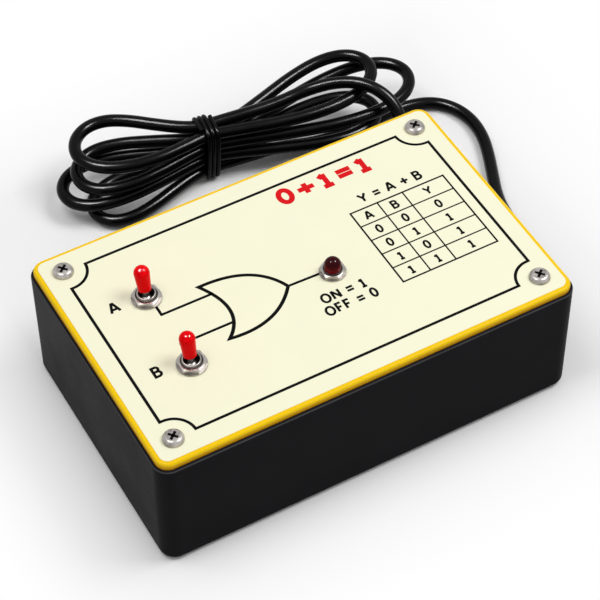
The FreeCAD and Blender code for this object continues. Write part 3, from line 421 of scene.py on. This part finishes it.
def line_art(name, lines, material):
    """Printed lines on the panel: each is its points in millimetres, its width and whether it closes."""
    settings = bpy.context.scene.trainer_print
    bm = bmesh.new()
    for i, (points, width, closed) in enumerate(lines):
        top = PANEL_Z + settings.ink_depth + i * settings.ink_step
        closed_strip(bm, millimetres(points), width, PANEL_Z, top, closed)
    return add_piece(name, mesh_of(bm, name), "case", material)


def ring(x, rx, ry, count=28):
    """Closed oval about (x, 0.5)."""
    turns = [2 * math.pi * k / count for k in range(count)]
    return [(x + rx * math.cos(turn), 0.5 + ry * math.sin(turn)) for turn in turns]


def bowl(x, y, rx, ry, count=12):
    """Right half of an oval, from its top to its foot."""
    turns = [math.pi * k / count for k in range(count + 1)]
    return [(x + rx * math.sin(turn), y + ry * math.cos(turn)) for turn in turns]


# Middle lines of the printed figures in a box of height 1: width, open lines, closed lines
GLYPHS = {
    " ": (0.08, [], []),
    "0": (0.54, [], [ring(0.27, 0.27, 0.5)]),
    "1": (0.46, [[(0.24, 1), (0.24, 0)], [(0, 0.74), (0.24, 0.96)], [(0, 0), (0.46, 0)]], []),
    "A": (0.80, [[(0, 0), (0.34, 1), (0.46, 1), (0.80, 0)], [(0.14, 0.32), (0.66, 0.32)]], []),
    "B": (0.60, [], [[(0, 0.53), (0, 1)] + bowl(0.30, 0.765, 0.24, 0.235),
                     [(0, 0), (0, 0.53)] + bowl(0.32, 0.265, 0.28, 0.265)]),
    "F": (0.50, [[(0, 0), (0, 1), (0.5, 1)], [(0, 0.52), (0.42, 0.52)]], []),
    "N": (0.66, [[(0, 0), (0, 1)], [(0, 1), (0.66, 0)], [(0.66, 0), (0.66, 1)]], []),
    "O": (0.80, [], [ring(0.40, 0.40, 0.5)]),
    "Y": (0.76, [[(0, 1), (0.38, 0.44)], [(0.76, 1), (0.38, 0.44)], [(0.38, 0.5), (0.38, 0)]], []),
    "+": (0.76, [[(0, 0.48), (0.76, 0.48)], [(0.38, 0.08), (0.38, 0.88)]], []),
    "=": (0.68, [[(0, 0.29), (0.68, 0.29)], [(0, 0.67), (0.68, 0.67)]], []),
}
GLYPH_GAP = 0.36


def lettering(name, rows, material):
    """Printed figures: each row is text, the middle of its foot in millimetres, height, weight, stretch."""
    settings = bpy.context.scene.trainer_print
    bm = bmesh.new()
    for text, (x, y), height, weight, stretch in rows:
        stroke = weight * height
        rise = height - stroke
        run = rise * stretch
        left = x * MM - run / 2 * (sum(GLYPHS[c][0] for c in text) + GLYPH_GAP * (len(text) - 1))
        for width, open_lines, closed_lines in (GLYPHS[c] for c in text):
            lines = [(line, False) for line in open_lines] + [(line, True) for line in closed_lines]
            for i, (line, closed) in enumerate(lines):
                points = [Vector((left + px * run, y * MM + stroke / 2 + py * rise)) for px, py in line]
                top = PANEL_Z + settings.ink_depth + i * settings.ink_step
                closed_strip(bm, points, stroke, PANEL_Z, top, closed)
            left += (width + GLYPH_GAP) * run
    return add_piece(name, mesh_of(bm, name), "case", material)


# The lead: route from the grommet, hank of eight strands and tail to the plug, in millimetres
TIE_PLACE = Vector((16.0, 98.5, 0.0))
HANK_TURN = math.radians(-6.5)
HANK_U = Vector((math.cos(HANK_TURN), math.sin(HANK_TURN), 0.0))
HANK_V = Vector((-HANK_U.y, HANK_U.x, 0.0))
STRAND_COLUMN = 2.6
STRAND_ROWS = (4.65, 10.15, 15.65, 21.15)
HANK_END_RUNS = (14.0, 26.5)
# Each lobe: its reach, how far its axis sways aside, how far it bows out and how far its end droops
LEFT_LOBES = ((46.0, -7.0, 13.5, -1.8), (55.0, 3.0, 15.0, -1.8), (49.0, 4.0, 15.0, -1.8),
              (46.0, 13.0, 17.0, 0.0))
RIGHT_LOBES = ((66.0, -3.0, 15.8, 0.0), (82.0, 5.0, 19.0, 0.0), (68.0, 11.0, 17.0, 0.0))
LEAD_ROUTE = (
    (81.0, 8.0, 9.5), (85.6, 8.0, 9.5), (90.5, 10.2, 8.9), (94.0, 14.4, 7.7), (95.7, 19.8, 6.3),
    (97.3, 27.0, 4.8), (99.9, 34.6, 3.6), (103.8, 43.0, 2.8), (108.2, 52.5, 2.4), (111.7, 62.0, 2.4),
    (112.8, 71.0, 2.4), (111.0, 79.5, 2.4), (105.6, 86.4, 2.4), (96.5, 89.8, 2.4), (84.0, 90.0, 2.4),
    (70.0, 88.6, 2.4), (56.0, 89.8, 2.6))
TAIL_ROUTE = (
    (57.5, 98.3, 22.0), (68.0, 93.0, 25.6), (75.5, 85.5, 27.0), (80.5, 77.5, 24.0), (81.5, 70.5, 18.5),
    (77.5, 65.5, 13.0), (69.5, 64.0, 9.0), (62.6, 64.0, 7.6), (58.0, 64.0, 7.6))


def hank_place(u, v, z):
    """Place along, across and above the hank, from under its tie."""
    return TIE_PLACE + HANK_U * u + HANK_V * v + Vector((0, 0, z))


def lobe_place(lobe, way, s, z_from, z_to):
    """Point of a lobe at share s of its way round: a teardrop on a bent axis, which climbs on its way out."""
    reach, sway, bow, droop = lobe
    out = (1 - math.cos(2 * math.pi * s)) / 2
    across = way * (STRAND_COLUMN * math.cos(math.pi * s) + bow * math.sin(2 * math.pi * s) * out)
    slope = 2 * sway * out / reach
    lean = math.hypot(1, slope)
    climb = out if s < 0.5 else 1.0
    along = reach * out - across * slope / lean
    z = z_from + (z_to - z_from) * climb + droop * out * out
    return hank_place(way * along, sway * out * out + across / lean, z)


def lead_points(lobe_points):
    """Control points of the whole lead, from the grommet through the hank to the plug."""
    points = [Vector(p) for p in LEAD_ROUTE]
    points += [hank_place(run, -STRAND_COLUMN, STRAND_ROWS[0]) for run in HANK_END_RUNS[::-1]]
    for i, row in enumerate(STRAND_ROWS):
        turns = [(LEFT_LOBES[i], -1, row)]
        if i < len(RIGHT_LOBES):
            turns.append((RIGHT_LOBES[i], 1, STRAND_ROWS[i + 1]))
        for lobe, way, z_to in turns:
            points += [lobe_place(lobe, way, k / lobe_points, row, z_to) for k in range(lobe_points)]
    points.append(hank_place(0, STRAND_COLUMN, STRAND_ROWS[-1]))
    points += [hank_place(run, STRAND_COLUMN, STRAND_ROWS[-1]) for run in HANK_END_RUNS]
    return points + [Vector(p) for p in TAIL_ROUTE]


def tie_points(turns=3, pitch=1.75, gap=0.45, corner=2.4, end_run=3.0):
    """Control points of the tie: two at each corner of the strands' block, a step along it on each side."""
    settings = bpy.context.scene.trainer_lead
    thick = (settings.diameter / 2 + settings.tie_diameter / 2) / MM + gap
    half = STRAND_COLUMN + thick
    low, high = STRAND_ROWS[0] - thick, STRAND_ROWS[-1] + thick
    u = -pitch * turns / 2
    points = [hank_place(u, -end_run, high)]
    for _ in range(turns):
        for side, top, foot in ((1, high, low), (-1, low, high)):
            fall = math.copysign(corner, foot - top)
            inner, outer = side * (half - corner), side * half
            points += [hank_place(u, inner, top), hank_place(u, outer, top + fall)]
            u += pitch / 2
            points += [hank_place(u, outer, foot - fall), hank_place(u, inner, foot)]
    return points + [hank_place(u, end_run, high)]


def smooth_spline(name, points):
    """Curve of one NURBS spline with these control points, given in millimetres."""
    curve = bpy.data.curves.new(name, "CURVE")
    curve.dimensions = "3D"
    spline = curve.splines.new("NURBS")
    spline.points.add(len(points) - 1)
    for held, p in zip(spline.points, points):
        held.co = (*(p * MM), 1.0)
    spline.order_u = 3
    spline.use_endpoint_u = True
    curve.resolution_u = 8
    return curve


# What the lamps are turned to
LAMP_AIM = Vector((0, 0, 0.03))


class TRAINER_OT_stage(bpy.types.Operator):
    """Set the floor, the light and the camera"""
    bl_idname = "trainer.stage"
    bl_label = "Set the stage"

    def execute(self, context):
        settings = context.scene.trainer_stage
        self.camera(context, settings)
        self.floor(context, settings)
        self.lamps(context, settings)
        context.scene.view_settings.view_transform = "Standard"
        return {"FINISHED"}

    def camera(self, context, settings):
        """Camera at the photograph's viewing angle."""
        azimuth, height, roll = settings.azimuth, settings.height, settings.roll
        back = Vector((math.sin(azimuth) * math.cos(height), -math.cos(azimuth) * math.cos(height),
                       math.sin(height)))
        level = Vector((math.cos(azimuth), math.sin(azimuth), 0))
        upright = back.cross(level)
        right = level * math.cos(roll) + upright * math.sin(roll)
        up = upright * math.cos(roll) - level * math.sin(roll)
        data = bpy.data.cameras.new("camera")
        data.lens = settings.lens
        data.sensor_width = 36.0
        data.clip_start, data.clip_end = 0.01, 20.0
        camera = bpy.data.objects.new("camera", data)
        context.scene.collection.objects.link(camera)
        place = Vector(settings.target) + back * settings.distance
        camera.matrix_world = Matrix.Translation(place) @ Matrix((right, up, back)).transposed().to_4x4()
        context.scene.camera = camera

    def floor(self, context, settings, paper=0.97, rough=0.9):
        """Pale paper that keeps the object's shadow and is blank white farther off."""
        half = settings.floor_size / 2
        mesh = bpy.data.meshes.new("floor")
        corners = [(sx * half, sy * half, 0) for sx, sy in ((-1, -1), (1, -1), (1, 1), (-1, 1))]
        mesh.from_pydata(corners, [], [(0, 1, 2, 3)])
        floor = bpy.data.objects.new("floor", mesh)
        context.scene.collection.objects.link(floor)
        material, tree, shader = shader_tree("floor_paper")
        seen = self.seen_rays(tree)
        pale = node_out(tree, "ShaderNodeMapRange", Value=seen, To_Min=settings.bounce, To_Max=paper)
        tree.links.new(pale, shader.inputs["Base Color"])
        shader.inputs["Roughness"].default_value = rough
        glow = node_out(tree, "ShaderNodeEmission", Color=(1, 1, 1, 1), Strength=1.0)
        share = node_out(tree, "ShaderNodeMath", {"operation": "MULTIPLY"}, _0=seen,
                         _1=self.blank_share(tree, settings))
        mixed = node_out(tree, "ShaderNodeMixShader", _0=share, _1=shader.outputs[0], _2=glow)
        output = next(n for n in tree.nodes if n.type == "OUTPUT_MATERIAL")
        tree.links.new(mixed, output.inputs["Surface"])
        mesh.materials.append(material)

    def blank_share(self, tree, settings, power=0.65):
        """0 at the object's box and 1 where the floor has faded to blank paper."""
        low, high = (Vector(corner) for corner in CAD_BOX)
        away = add_node(tree, "ShaderNodeTexCoord").outputs["Object"]
        for operation, value in (("SUBTRACT", (low + high) / 2), ("ABSOLUTE", None),
                                 ("SUBTRACT", (high - low) / 2), ("MAXIMUM", Vector((0, 0, 0)))):
            step = add_node(tree, "ShaderNodeVectorMath", {"operation": operation}, _0=away)
            if value is not None:
                step.inputs[1].default_value = value
            away = step.outputs[0]
        away = add_node(tree, "ShaderNodeVectorMath", {"operation": "LENGTH"}, _0=away).outputs["Value"]
        away = node_out(tree, "ShaderNodeMath", {"operation": "DIVIDE"}, _0=away, _1=settings.fade)
        return node_out(tree, "ShaderNodeMath", {"operation": "POWER", "use_clamp": True}, _0=away,
                        _1=power)

    def seen_rays(self, tree):
        """1 for rays from the camera, from glossy surfaces and through clear ones."""
        light = add_node(tree, "ShaderNodeLightPath").outputs
        total = light["Is Camera Ray"]
        for other in ("Is Glossy Ray", "Is Transmission Ray"):
            total = node_out(tree, "ShaderNodeMath", {"operation": "MAXIMUM"}, _0=total,
                             _1=light[other])
        return total

    def lamps(self, context, settings):
        """Even light from all round, two soft lamps, and two that only polished pieces mirror."""
        world = bpy.data.worlds.new("studio")
        context.scene.world = world
        world.use_nodes = True
        tree = world.node_tree
        back = next(n for n in tree.nodes if n.type == "BACKGROUND")
        back.inputs["Color"].default_value = (1, 1, 1, 1)
        put(tree, back.inputs["Strength"], node_out(
            tree, "ShaderNodeMapRange", Value=self.seen_rays(tree), To_Min=settings.sky, To_Max=1.0))
        polished = bpy.data.collections.new(POLISHED)
        for node in ("lamp_led", "switch_a_sleeve", "switch_b_sleeve"):
            polished.objects.link(NODES[node])
        for name, power, size, place in (
                ("key_lamp", settings.key, settings.key_size, settings.right_lamp),
                ("fill_lamp", settings.fill, settings.fill_size, settings.left_lamp),
                ("key_glint", settings.glint, settings.glint_size, settings.right_lamp),
                ("fill_glint", settings.glint, settings.glint_size, settings.left_lamp)):
            data = bpy.data.lights.new(name, "AREA")
            data.energy = power
            data.size = size
            lamp = bpy.data.objects.new(name, data)
            context.scene.collection.objects.link(lamp)
            lamp.location = place
            lamp.rotation_euler = (LAMP_AIM - lamp.location).to_track_quat("-Z", "Y").to_euler()
            if name.endswith("glint"):
                lamp.visible_diffuse = False
                lamp.light_linking.receiver_collection = polished


class TRAINER_OT_lead(bpy.types.Operator):
    """Lay the lead with its hank, the tie and the plug's grip"""
    bl_idname = "trainer.lead"
    bl_label = "Lay the lead"

    def execute(self, context):
        settings = context.scene.trainer_lead
        sheath = finished("cord_sheath", settings.sheath)
        rubber = finished("cord_rubber", tone(12, 12, 13))
        brass = finished("pin_brass", (0.62, 0.58, 0.5, 1))
        curve = smooth_spline("mains_lead", lead_points(settings.lobe_points))
        curve.bevel_depth = settings.diameter / 2
        curve.bevel_resolution = 6
        curve.use_fill_caps = True
        curve.materials.append(sheath)
        lead = bpy.data.objects.new("mains_lead", curve)
        context.scene.collection.objects.link(lead)
        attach(lead, "case")
        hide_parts("cord_lead", "cord_hank", "cord_tail")
        tie = self.tie(settings, sheath)
        for piece in (lead, tie):
            bpy.data.collections[POLISHED].objects.link(piece)
        grip = self.grip(settings, rubber)
        dress(rubber, "cord_grommet", "plug_body")
        dress(brass, "plug_pins")
        return {"FINISHED"}

    def tie(self, settings, sheath, steps=360, flat=0.94):
        """Round cord, drawn a little flat, along the tie's spline."""
        tree, sizes = geometry_tree("Hank tie", (("Radius", "Float"), ("Steps", "Int"), ("Flat", "Vector")))
        path = node_out(tree, "GeometryNodeResampleCurve", Curve=sizes["Geometry"],
                        Count=sizes["Steps"])
        round_cord = node_out(tree, "GeometryNodeCurvePrimitiveCircle", Resolution=14,
                              Radius=sizes["Radius"])
        profile = node_out(tree, "GeometryNodeTransform", Geometry=round_cord, Scale=sizes["Flat"])
        tube = node_out(tree, "GeometryNodeCurveToMesh", Curve=path, Profile_Curve=profile,
                        Fill_Caps=True)
        close_tree(tree, tube, sheath)
        carrier = bpy.data.objects.new("tie_carrier", smooth_spline("hank_tie", tie_points()))
        mesh = grown_mesh("hank_tie", tree, {"Radius": settings.tie_diameter / 2, "Steps": steps,
                                             "Flat": (1.0, flat, 1.0)}, carrier)
        tie = add_piece("hank_tie", mesh, "case")
        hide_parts("cord_tie")
        return tie

    def grip(self, settings, rubber, inset=0.006, reach=0.0119, pitch=0.0028, taper=0.00042,
             rib_size=(0.0016, 0.0022, 0.0085)):
        """Rows of upright ribs on the plug's two flanks, which draw in towards the lead."""
        tree, sizes = geometry_tree("Plug grip", (("Ribs", "Int"), ("Pitch", "Vector"), ("Start", "Vector"),
                                                  ("Rib", "Vector")))
        row = node_out(tree, "GeometryNodeMeshLine", {"mode": "OFFSET"}, Count=sizes["Ribs"],
                       Start_Location=sizes["Start"], Offset=sizes["Pitch"])
        rib = node_out(tree, "GeometryNodeMeshUVSphere", Segments=12, Rings=8, Radius=0.5)
        rib = node_out(tree, "GeometryNodeTransform", Geometry=rib, Scale=sizes["Rib"])
        ribs = node_out(tree, "GeometryNodeInstanceOnPoints", Points=row, Instance=rib)
        close_tree(tree, ribs, rubber)
        low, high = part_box("plug_body")
        middle = (low + high) / 2
        bm = bmesh.new()
        for side in (-1, 1):
            start = Vector((low.x + inset, middle.y + side * reach, middle.z))
            mesh = grown_mesh("plug_grip", tree, {
                "Ribs": settings.grip_ribs, "Pitch": (pitch, -side * taper, 0.0), "Start": start,
                "Rib": rib_size})
            bm.from_mesh(mesh)
            bpy.data.meshes.remove(mesh)
        return add_piece("plug_grip", mesh_of(bm, "plug_grip"), "case", rubber)


# How far below the box's top the painted highlight on its rounded edge lies and reaches, how far the cover's
# deeper colour of painted shade reaches, and the screw heads' width
RIM_HIGHLIGHT_DROP, RIM_HIGHLIGHT_REACH = 0.00042, 0.0003
COVER_SHADE_REACH = 0.0018
SCREW_HEAD = 0.007


class TRAINER_OT_case(bpy.types.Operator):
    """Finish the box, the cover, the panel sheet and the screws"""
    bl_idname = "trainer.case"
    bl_label = "Finish the case"

    def execute(self, context):
        colours = context.scene.trainer_finish
        box = finished("case_plastic", colours.box)
        # Painted highlight on the box's rounded top edge, in place of the lamps' reflection
        paint_light_band(box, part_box("base_box")[1].z - RIM_HIGHLIGHT_DROP, RIM_HIGHLIGHT_REACH, colours.rim_highlight)
        dress(box, "base_box")
        cover = finished("cover_plastic", colours.cover)
        # Painted shade low on the cover's edge, where the gap over the box lies in shade
        paint_light_band(cover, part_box("top_cover")[0].z, COVER_SHADE_REACH, colours.cover_painted_shade)
        dress(cover, "top_cover")
        dress(finished("label_print", colours.sheet), "face_label")
        dress(finished("screw_nickel", colours.nickel), "cover_screws", "board_screws", "transformer_screws")
        self.recesses(colours)
        return {"FINISHED"}

    def recesses(self, settings, sunk=0.00022, depth=0.0008):
        """Dark cross in the recess of each cover screw: painted shade, standing in for the shadow inside the
        recess.
        """
        dark = finished("recess_painted_shade", tone(16, 15, 15))
        tree, sizes = geometry_tree("Screw recesses", (("Spread", "Vector"), ("Top", "Float"),
                                                       ("Turn", "Float"), ("Arm", "Vector"),
                                                       ("Turned arm", "Vector")))
        corners = node_out(tree, "GeometryNodeMeshGrid", Size_X=1.0, Size_Y=1.0, Vertices_X=2,
                           Vertices_Y=2)
        lifted = node_out(tree, "ShaderNodeCombineXYZ", Z=sizes["Top"])
        places = node_out(tree, "GeometryNodeTransform", Geometry=corners, Translation=lifted,
                          Scale=sizes["Spread"])
        cross = add_node(tree, "GeometryNodeJoinGeometry")
        for arm_size in ("Arm", "Turned arm"):
            tree.links.new(node_out(tree, "GeometryNodeMeshCube", Size=sizes[arm_size]), cross.inputs[0])
        angle = node_out(tree, "FunctionNodeAxisAngleToRotation", Axis=(0, 0, 1), Angle=sizes["Turn"])
        crosses = node_out(tree, "GeometryNodeInstanceOnPoints", Points=places, Instance=cross.outputs[0],
                           Rotation=angle)
        close_tree(tree, crosses, dark, False)
        low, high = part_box("cover_screws")
        arm, width = settings.recess_arm, settings.recess_width
        mesh = grown_mesh("screw_recesses", tree, {
            "Spread": (high.x - low.x - SCREW_HEAD, high.y - low.y - SCREW_HEAD, 1.0),
            "Top": high.z - sunk - depth / 2, "Turn": settings.recess_turn,
            "Arm": (arm, width, depth), "Turned arm": (width, arm, depth)})
        add_piece("screw_recesses", mesh, "case")


# The printing's places on the panel, in millimetres from its middle
BORDER_HALF_LENGTH, BORDER_HALF_WIDTH = 67.2, 38.8
NOTCH_X, NOTCH_Y, NOTCH_RADIUS = 66.5, 39.0, 7.8
GATE_UPPER, GATE_LOWER, GATE_NOSE = (-31.4, 11.6), (-32.7, -12.4), (-6.0, -2.2)
GATE_BACK, GATE_BROW, GATE_CHIN = (-22.1, -3.4), (-11.6, 12.2), (-15.8, -15.1)
SIGNAL_LINES = (((-47.0, 12.0), (-47.0, 7.1), (-28.4, 7.0)), ((-47.2, -11.5), (-47.2, -6.7), (-28.0, -6.8)),
                (GATE_NOSE, (6.4, -2.6)))
TABLE_LEFT, TABLE_RIGHT, TABLE_TOP, TABLE_FOOT = 27.3, 63.2, 15.3, -19.0
COLUMN_RULE_SHARES = (0.286, 0.557)
COLUMN_MIDDLES = (32.4, 42.4, 55.2)
TABLE_ROWS = ("ABY", "000", "011", "101", "111")
ROW_STEP = (TABLE_FOOT - TABLE_TOP) / len(TABLE_ROWS)
TABLE_CAPTION = ("Y = A + B", (45.0, 17.5))
INPUT_LETTERS = (("A", (-59.0, 14.8)), ("B", (-59.0, -15.4)))
LAMP_CAPTION = (("ON = 1", (8.5, -14.9)), ("OFF = 0", (8.5, -20.2)))
TITLE = ("0+1=1", (27.2, 29.2))


class TRAINER_OT_print(bpy.types.Operator):
    """Print the panel: border, gate symbol, signal lines, table and figures"""
    bl_idname = "trainer.print"
    bl_label = "Print the panel"

    def execute(self, context):
        settings = context.scene.trainer_print
        ink = finished("panel_ink", settings.ink)
        red = finished("title_ink", settings.title_ink)
        line_art("panel_border", [(self.border(), settings.border_line, True)], ink)
        line_art("gate_symbol", [(self.gate(), settings.gate_line, True)], ink)
        line_art("signal_lines", [(line, settings.wire_line, False) for line in SIGNAL_LINES], ink)
        self.table(settings, ink)
        self.figures(settings, ink, red)
        return {"FINISHED"}

    def border(self, steps=16):
        """Rectangle whose corners give way to arcs round the cover screws."""
        points = []
        for sx, sy, start in ((1, 1, 270), (-1, 1, 0), (-1, -1, 90), (1, -1, 180)):
            turns = [math.radians(start - 90 * k / steps) for k in range(steps + 1)]
            run = [Vector((sx * NOTCH_X + NOTCH_RADIUS * math.cos(turn),
                           sy * NOTCH_Y + NOTCH_RADIUS * math.sin(turn))) for turn in turns]
            run[0 if sx == sy else -1].x = sx * BORDER_HALF_LENGTH
            run[-1 if sx == sy else 0].y = sy * BORDER_HALF_WIDTH
            points += run
        return points

    def gate(self):
        """Outline of the gate's symbol: its hollow back, its brow to the nose and its chin."""
        return (bend_points(GATE_LOWER, GATE_BACK, GATE_UPPER) + bend_points(GATE_UPPER, GATE_BROW, GATE_NOSE)
                + bend_points(GATE_NOSE, GATE_CHIN, GATE_LOWER))

    def table(self, settings, ink):
        """Frame, two column rules, and the row rules as repeats of one bar."""
        width = TABLE_RIGHT - TABLE_LEFT
        outline = [(TABLE_LEFT, TABLE_FOOT), (TABLE_RIGHT, TABLE_FOOT), (TABLE_RIGHT, TABLE_TOP),
                   (TABLE_LEFT, TABLE_TOP)]
        columns = [TABLE_LEFT + width * share for share in COLUMN_RULE_SHARES]
        line_art("table_frame", [(outline, settings.table_frame, True)]
                 + [([(x, TABLE_FOOT), (x, TABLE_TOP)], settings.table_line, False) for x in columns], ink)
        tree, sizes = geometry_tree("Table rules", (("Rules", "Int"), ("First", "Vector"), ("Step", "Vector"),
                                                    ("Bar", "Vector")))
        row = node_out(tree, "GeometryNodeMeshLine", {"mode": "OFFSET"}, Count=sizes["Rules"],
                       Start_Location=sizes["First"], Offset=sizes["Step"])
        bar = node_out(tree, "GeometryNodeMeshCube", Size=sizes["Bar"])
        rules = node_out(tree, "GeometryNodeInstanceOnPoints", Points=row, Instance=bar)
        close_tree(tree, rules, ink, False)
        first = Vector((TABLE_LEFT + width / 2, TABLE_TOP + ROW_STEP, 0)) * MM
        mesh = grown_mesh("table_rules", tree, {
            "Rules": len(TABLE_ROWS) - 1, "First": first + Vector((0, 0, PANEL_Z + settings.ink_depth / 2)),
            "Step": Vector((0, ROW_STEP, 0)) * MM,
            "Bar": (width * MM, settings.table_line, settings.ink_depth)})
        add_piece("table_rules", mesh, "case")

    def figures(self, settings, ink, red):
        """The table's figures, the captions, the switches' letters and the title."""
        high, weight = settings.figure_height, settings.weight
        rows = []
        for i, texts in enumerate(TABLE_ROWS):
            foot = TABLE_TOP + ROW_STEP * (i + 0.5) - high / MM / 2
            rows += [(text, (x, foot), high, weight, 1.0) for text, x in zip(texts, COLUMN_MIDDLES)]
        lettering("table_figures", rows, ink)
        for name, lines, height in (("table_caption", (TABLE_CAPTION,), settings.caption_height),
                                    ("input_letters", INPUT_LETTERS, settings.letter_height),
                                    ("lamp_caption", LAMP_CAPTION, settings.caption_height)):
            lettering(name, [(*line, height, weight, 1.0) for line in lines], ink)
        lettering("panel_title", [(*TITLE, settings.title_height, weight * settings.title_weight,
                                   settings.title_stretch)], red)


# The thread: its bush's radius, its painted shade (the share of the nickel's colour that its darker copy
# keeps), the ridge against the pitch and how far the ridge is sunk, and how far it runs into the nut and
# stops short of the bush's lip
BUSH_RADIUS = 0.00315
THREAD_PAINTED_SHADE = 0.7
RIDGE_SHARE, RIDGE_SUNK_SHARE = 0.42, 0.45
THREAD_RUN_IN, THREAD_LIP = 0.0004, 0.00035


class TRAINER_OT_switches(bpy.types.Operator):
    """Finish both toggle switches and cut their threads"""
    bl_idname = "trainer.switches"
    bl_label = "Finish the switches"

    def execute(self, context):
        colours = context.scene.trainer_finish
        nickel = finished("nickel_plate", colours.nickel)
        steel = finished("lever_steel", (0.5, 0.49, 0.47, 1))
        sleeve = finished("sleeve_plastic", colours.sleeve)
        housing = finished("switch_plastic", tone(150, 24, 22))
        silver = finished("terminal_silver", (0.8, 0.79, 0.76, 1))
        # Painted shade: the thread gets a darker, rougher copy of the bush's nickel, standing in for the
        # shade in its grooves
        thread_shade_finish = finished("nickel_thread_painted_shade", [c * THREAD_PAINTED_SHADE for c in colours.nickel[:3]] + [1.0])
        thread = self.thread_tree(thread_shade_finish)
        for letter in "ab":
            name = "switch_" + letter + "_"
            dress(nickel, *(name + part for part in ("washer", "panel_nut", "back_nut", "bush", "frame")))
            dress(steel, name + "lever", name + "pivot_pin")
            dress(sleeve, name + "sleeve")
            dress(housing, name + "body")
            dress(silver, name + "terminals", name + "rocker")
            self.thread(name, thread, colours.thread_pitch)
        return {"FINISHED"}

    def thread_tree(self, finish):
        """Helical ridge round a bush."""
        tree, sizes = geometry_tree("Bush thread", (("Turns", "Float"), ("Radius", "Float"),
                                                    ("Height", "Float"), ("Ridge", "Float"),
                                                    ("Foot", "Vector")))
        path = node_out(tree, "GeometryNodeCurveSpiral", Resolution=32, Rotations=sizes["Turns"],
                        Start_Radius=sizes["Radius"], End_Radius=sizes["Radius"],
                        Height=sizes["Height"])
        ridge = node_out(tree, "GeometryNodeCurvePrimitiveCircle", Resolution=6,
                         Radius=sizes["Ridge"])
        coil = node_out(tree, "GeometryNodeCurveToMesh", Curve=path, Profile_Curve=ridge,
                        Fill_Caps=True)
        placed = node_out(tree, "GeometryNodeTransform", Geometry=coil, Translation=sizes["Foot"])
        close_tree(tree, placed, finish)
        return tree

    def thread(self, name, tree, pitch):
        """Thread on the part of a switch's bush that stands out of its nut."""
        low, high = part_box(name + "bush")
        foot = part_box(name + "panel_nut")[1].z - THREAD_RUN_IN
        height = high.z - THREAD_LIP - foot
        ridge = pitch * RIDGE_SHARE
        mesh = grown_mesh(name + "thread", tree, {
            "Turns": height / pitch, "Radius": BUSH_RADIUS - ridge * RIDGE_SUNK_SHARE, "Height": height,
            "Ridge": ridge, "Foot": ((low.x + high.x) / 2, (low.y + high.y) / 2, foot)})
        add_piece(name + "thread", mesh, "case")


# How far up the lamp the painted glow at its foot reaches, brighter red standing in for light through the
# epoxy
LAMP_GLOW_REACH = 0.003


class TRAINER_OT_lamp(bpy.types.Operator):
    """Finish the output lamp"""
    bl_idname = "trainer.lamp"
    bl_label = "Finish the lamp"

    def execute(self, context):
        colours = context.scene.trainer_finish
        nickel = finish_material("lamp_nickel", colours.nickel, **FINISHES["nickel_plate"])
        epoxy = finished("lamp_epoxy", colours.lamp)
        # Painted glow towards the lamp's foot, brighter red in place of light through the epoxy
        paint_light_band(epoxy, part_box("lamp_bezel")[1].z, LAMP_GLOW_REACH, colours.lamp_painted_glow)
        dress(nickel, "lamp_washer", "lamp_bezel", "lamp_nut", "lamp_leads")
        dress(epoxy, "lamp_led")
        dress(finished("lamp_black", tone(14, 14, 15)), "lamp_collar")
        return {"FINISHED"}


class TRAINER_OT_inside(bpy.types.Operator):
    """Finish the board, the supply and the wires inside the box"""
    bl_idname = "trainer.inside"
    bl_label = "Finish the inside"

    def execute(self, context):
        for name, colour, nodes in (
                ("board_laminate", tone(40, 92, 52), ("circuit_board",)),
                ("chip_black", tone(26, 26, 28),
                 ("chip_socket", "logic_chip", "regulator", "rectifier_diodes")),
                ("capacitor_sleeve", tone(36, 48, 96), ("filter_capacitor",)),
                ("resistor_lacquer", tone(196, 168, 120), ("resistors",)),
                ("winding_tape", tone(206, 170, 60), ("transformer_winding",)),
                ("wire_insulation", tone(190, 40, 34),
                 ("switch_a_wires", "switch_b_wires", "lamp_wires", "supply_wires", "mains_wires")),
                ("core_iron", (0.3, 0.29, 0.28, 1), ("transformer_core", "transformer_frame"))):
            dress(finished(name, colour), *nodes)
        return {"FINISHED"}


class TRAINER_PT_sidebar(bpy.types.Panel):
    """Sizes, colours and making steps of the trainer"""
    bl_idname = "TRAINER_PT_sidebar"
    bl_label = "Logic gate trainer"
    bl_space_type = "VIEW_3D"
    bl_region_type = "UI"
    bl_category = "Trainer"

    def draw(self, context):
        for maker in OPERATORS:
            self.layout.operator(maker.bl_idname)
        for group in SETTINGS:
            box = self.layout.box()
            held = getattr(context.scene, group)
            for name in held.bl_rna.properties.keys():
                if name not in ("rna_type", "name"):
                    box.prop(held, name)


OPERATORS = (TRAINER_OT_stage, TRAINER_OT_lead, TRAINER_OT_case, TRAINER_OT_print, TRAINER_OT_switches,
             TRAINER_OT_lamp, TRAINER_OT_inside)
SETTINGS = {"trainer_stage": StageSettings, "trainer_lead": LeadSettings, "trainer_print": PrintSettings,
            "trainer_finish": FinishSettings}


def register():
    """Register the classes and hang the settings on the scene."""
    for group in (*SETTINGS.values(), *OPERATORS, TRAINER_PT_sidebar):
        bpy.utils.register_class(group)
    for name, group in SETTINGS.items():
        setattr(bpy.types.Scene, name, PointerProperty(type=group))


def unregister():
    """Undo register."""
    for name in SETTINGS:
        delattr(bpy.types.Scene, name)
    for group in (TRAINER_PT_sidebar, *OPERATORS[::-1], *SETTINGS.values()):
        bpy.utils.unregister_class(group)


def main():
    """Make the stage and every piece in order."""
    register()
    bpy.ops.trainer.stage()
    bpy.ops.trainer.lead()
    bpy.ops.trainer.case()
    bpy.ops.trainer.print()
    bpy.ops.trainer.switches()
    bpy.ops.trainer.lamp()
    bpy.ops.trainer.inside()


if __name__ == "__main__":
    main()
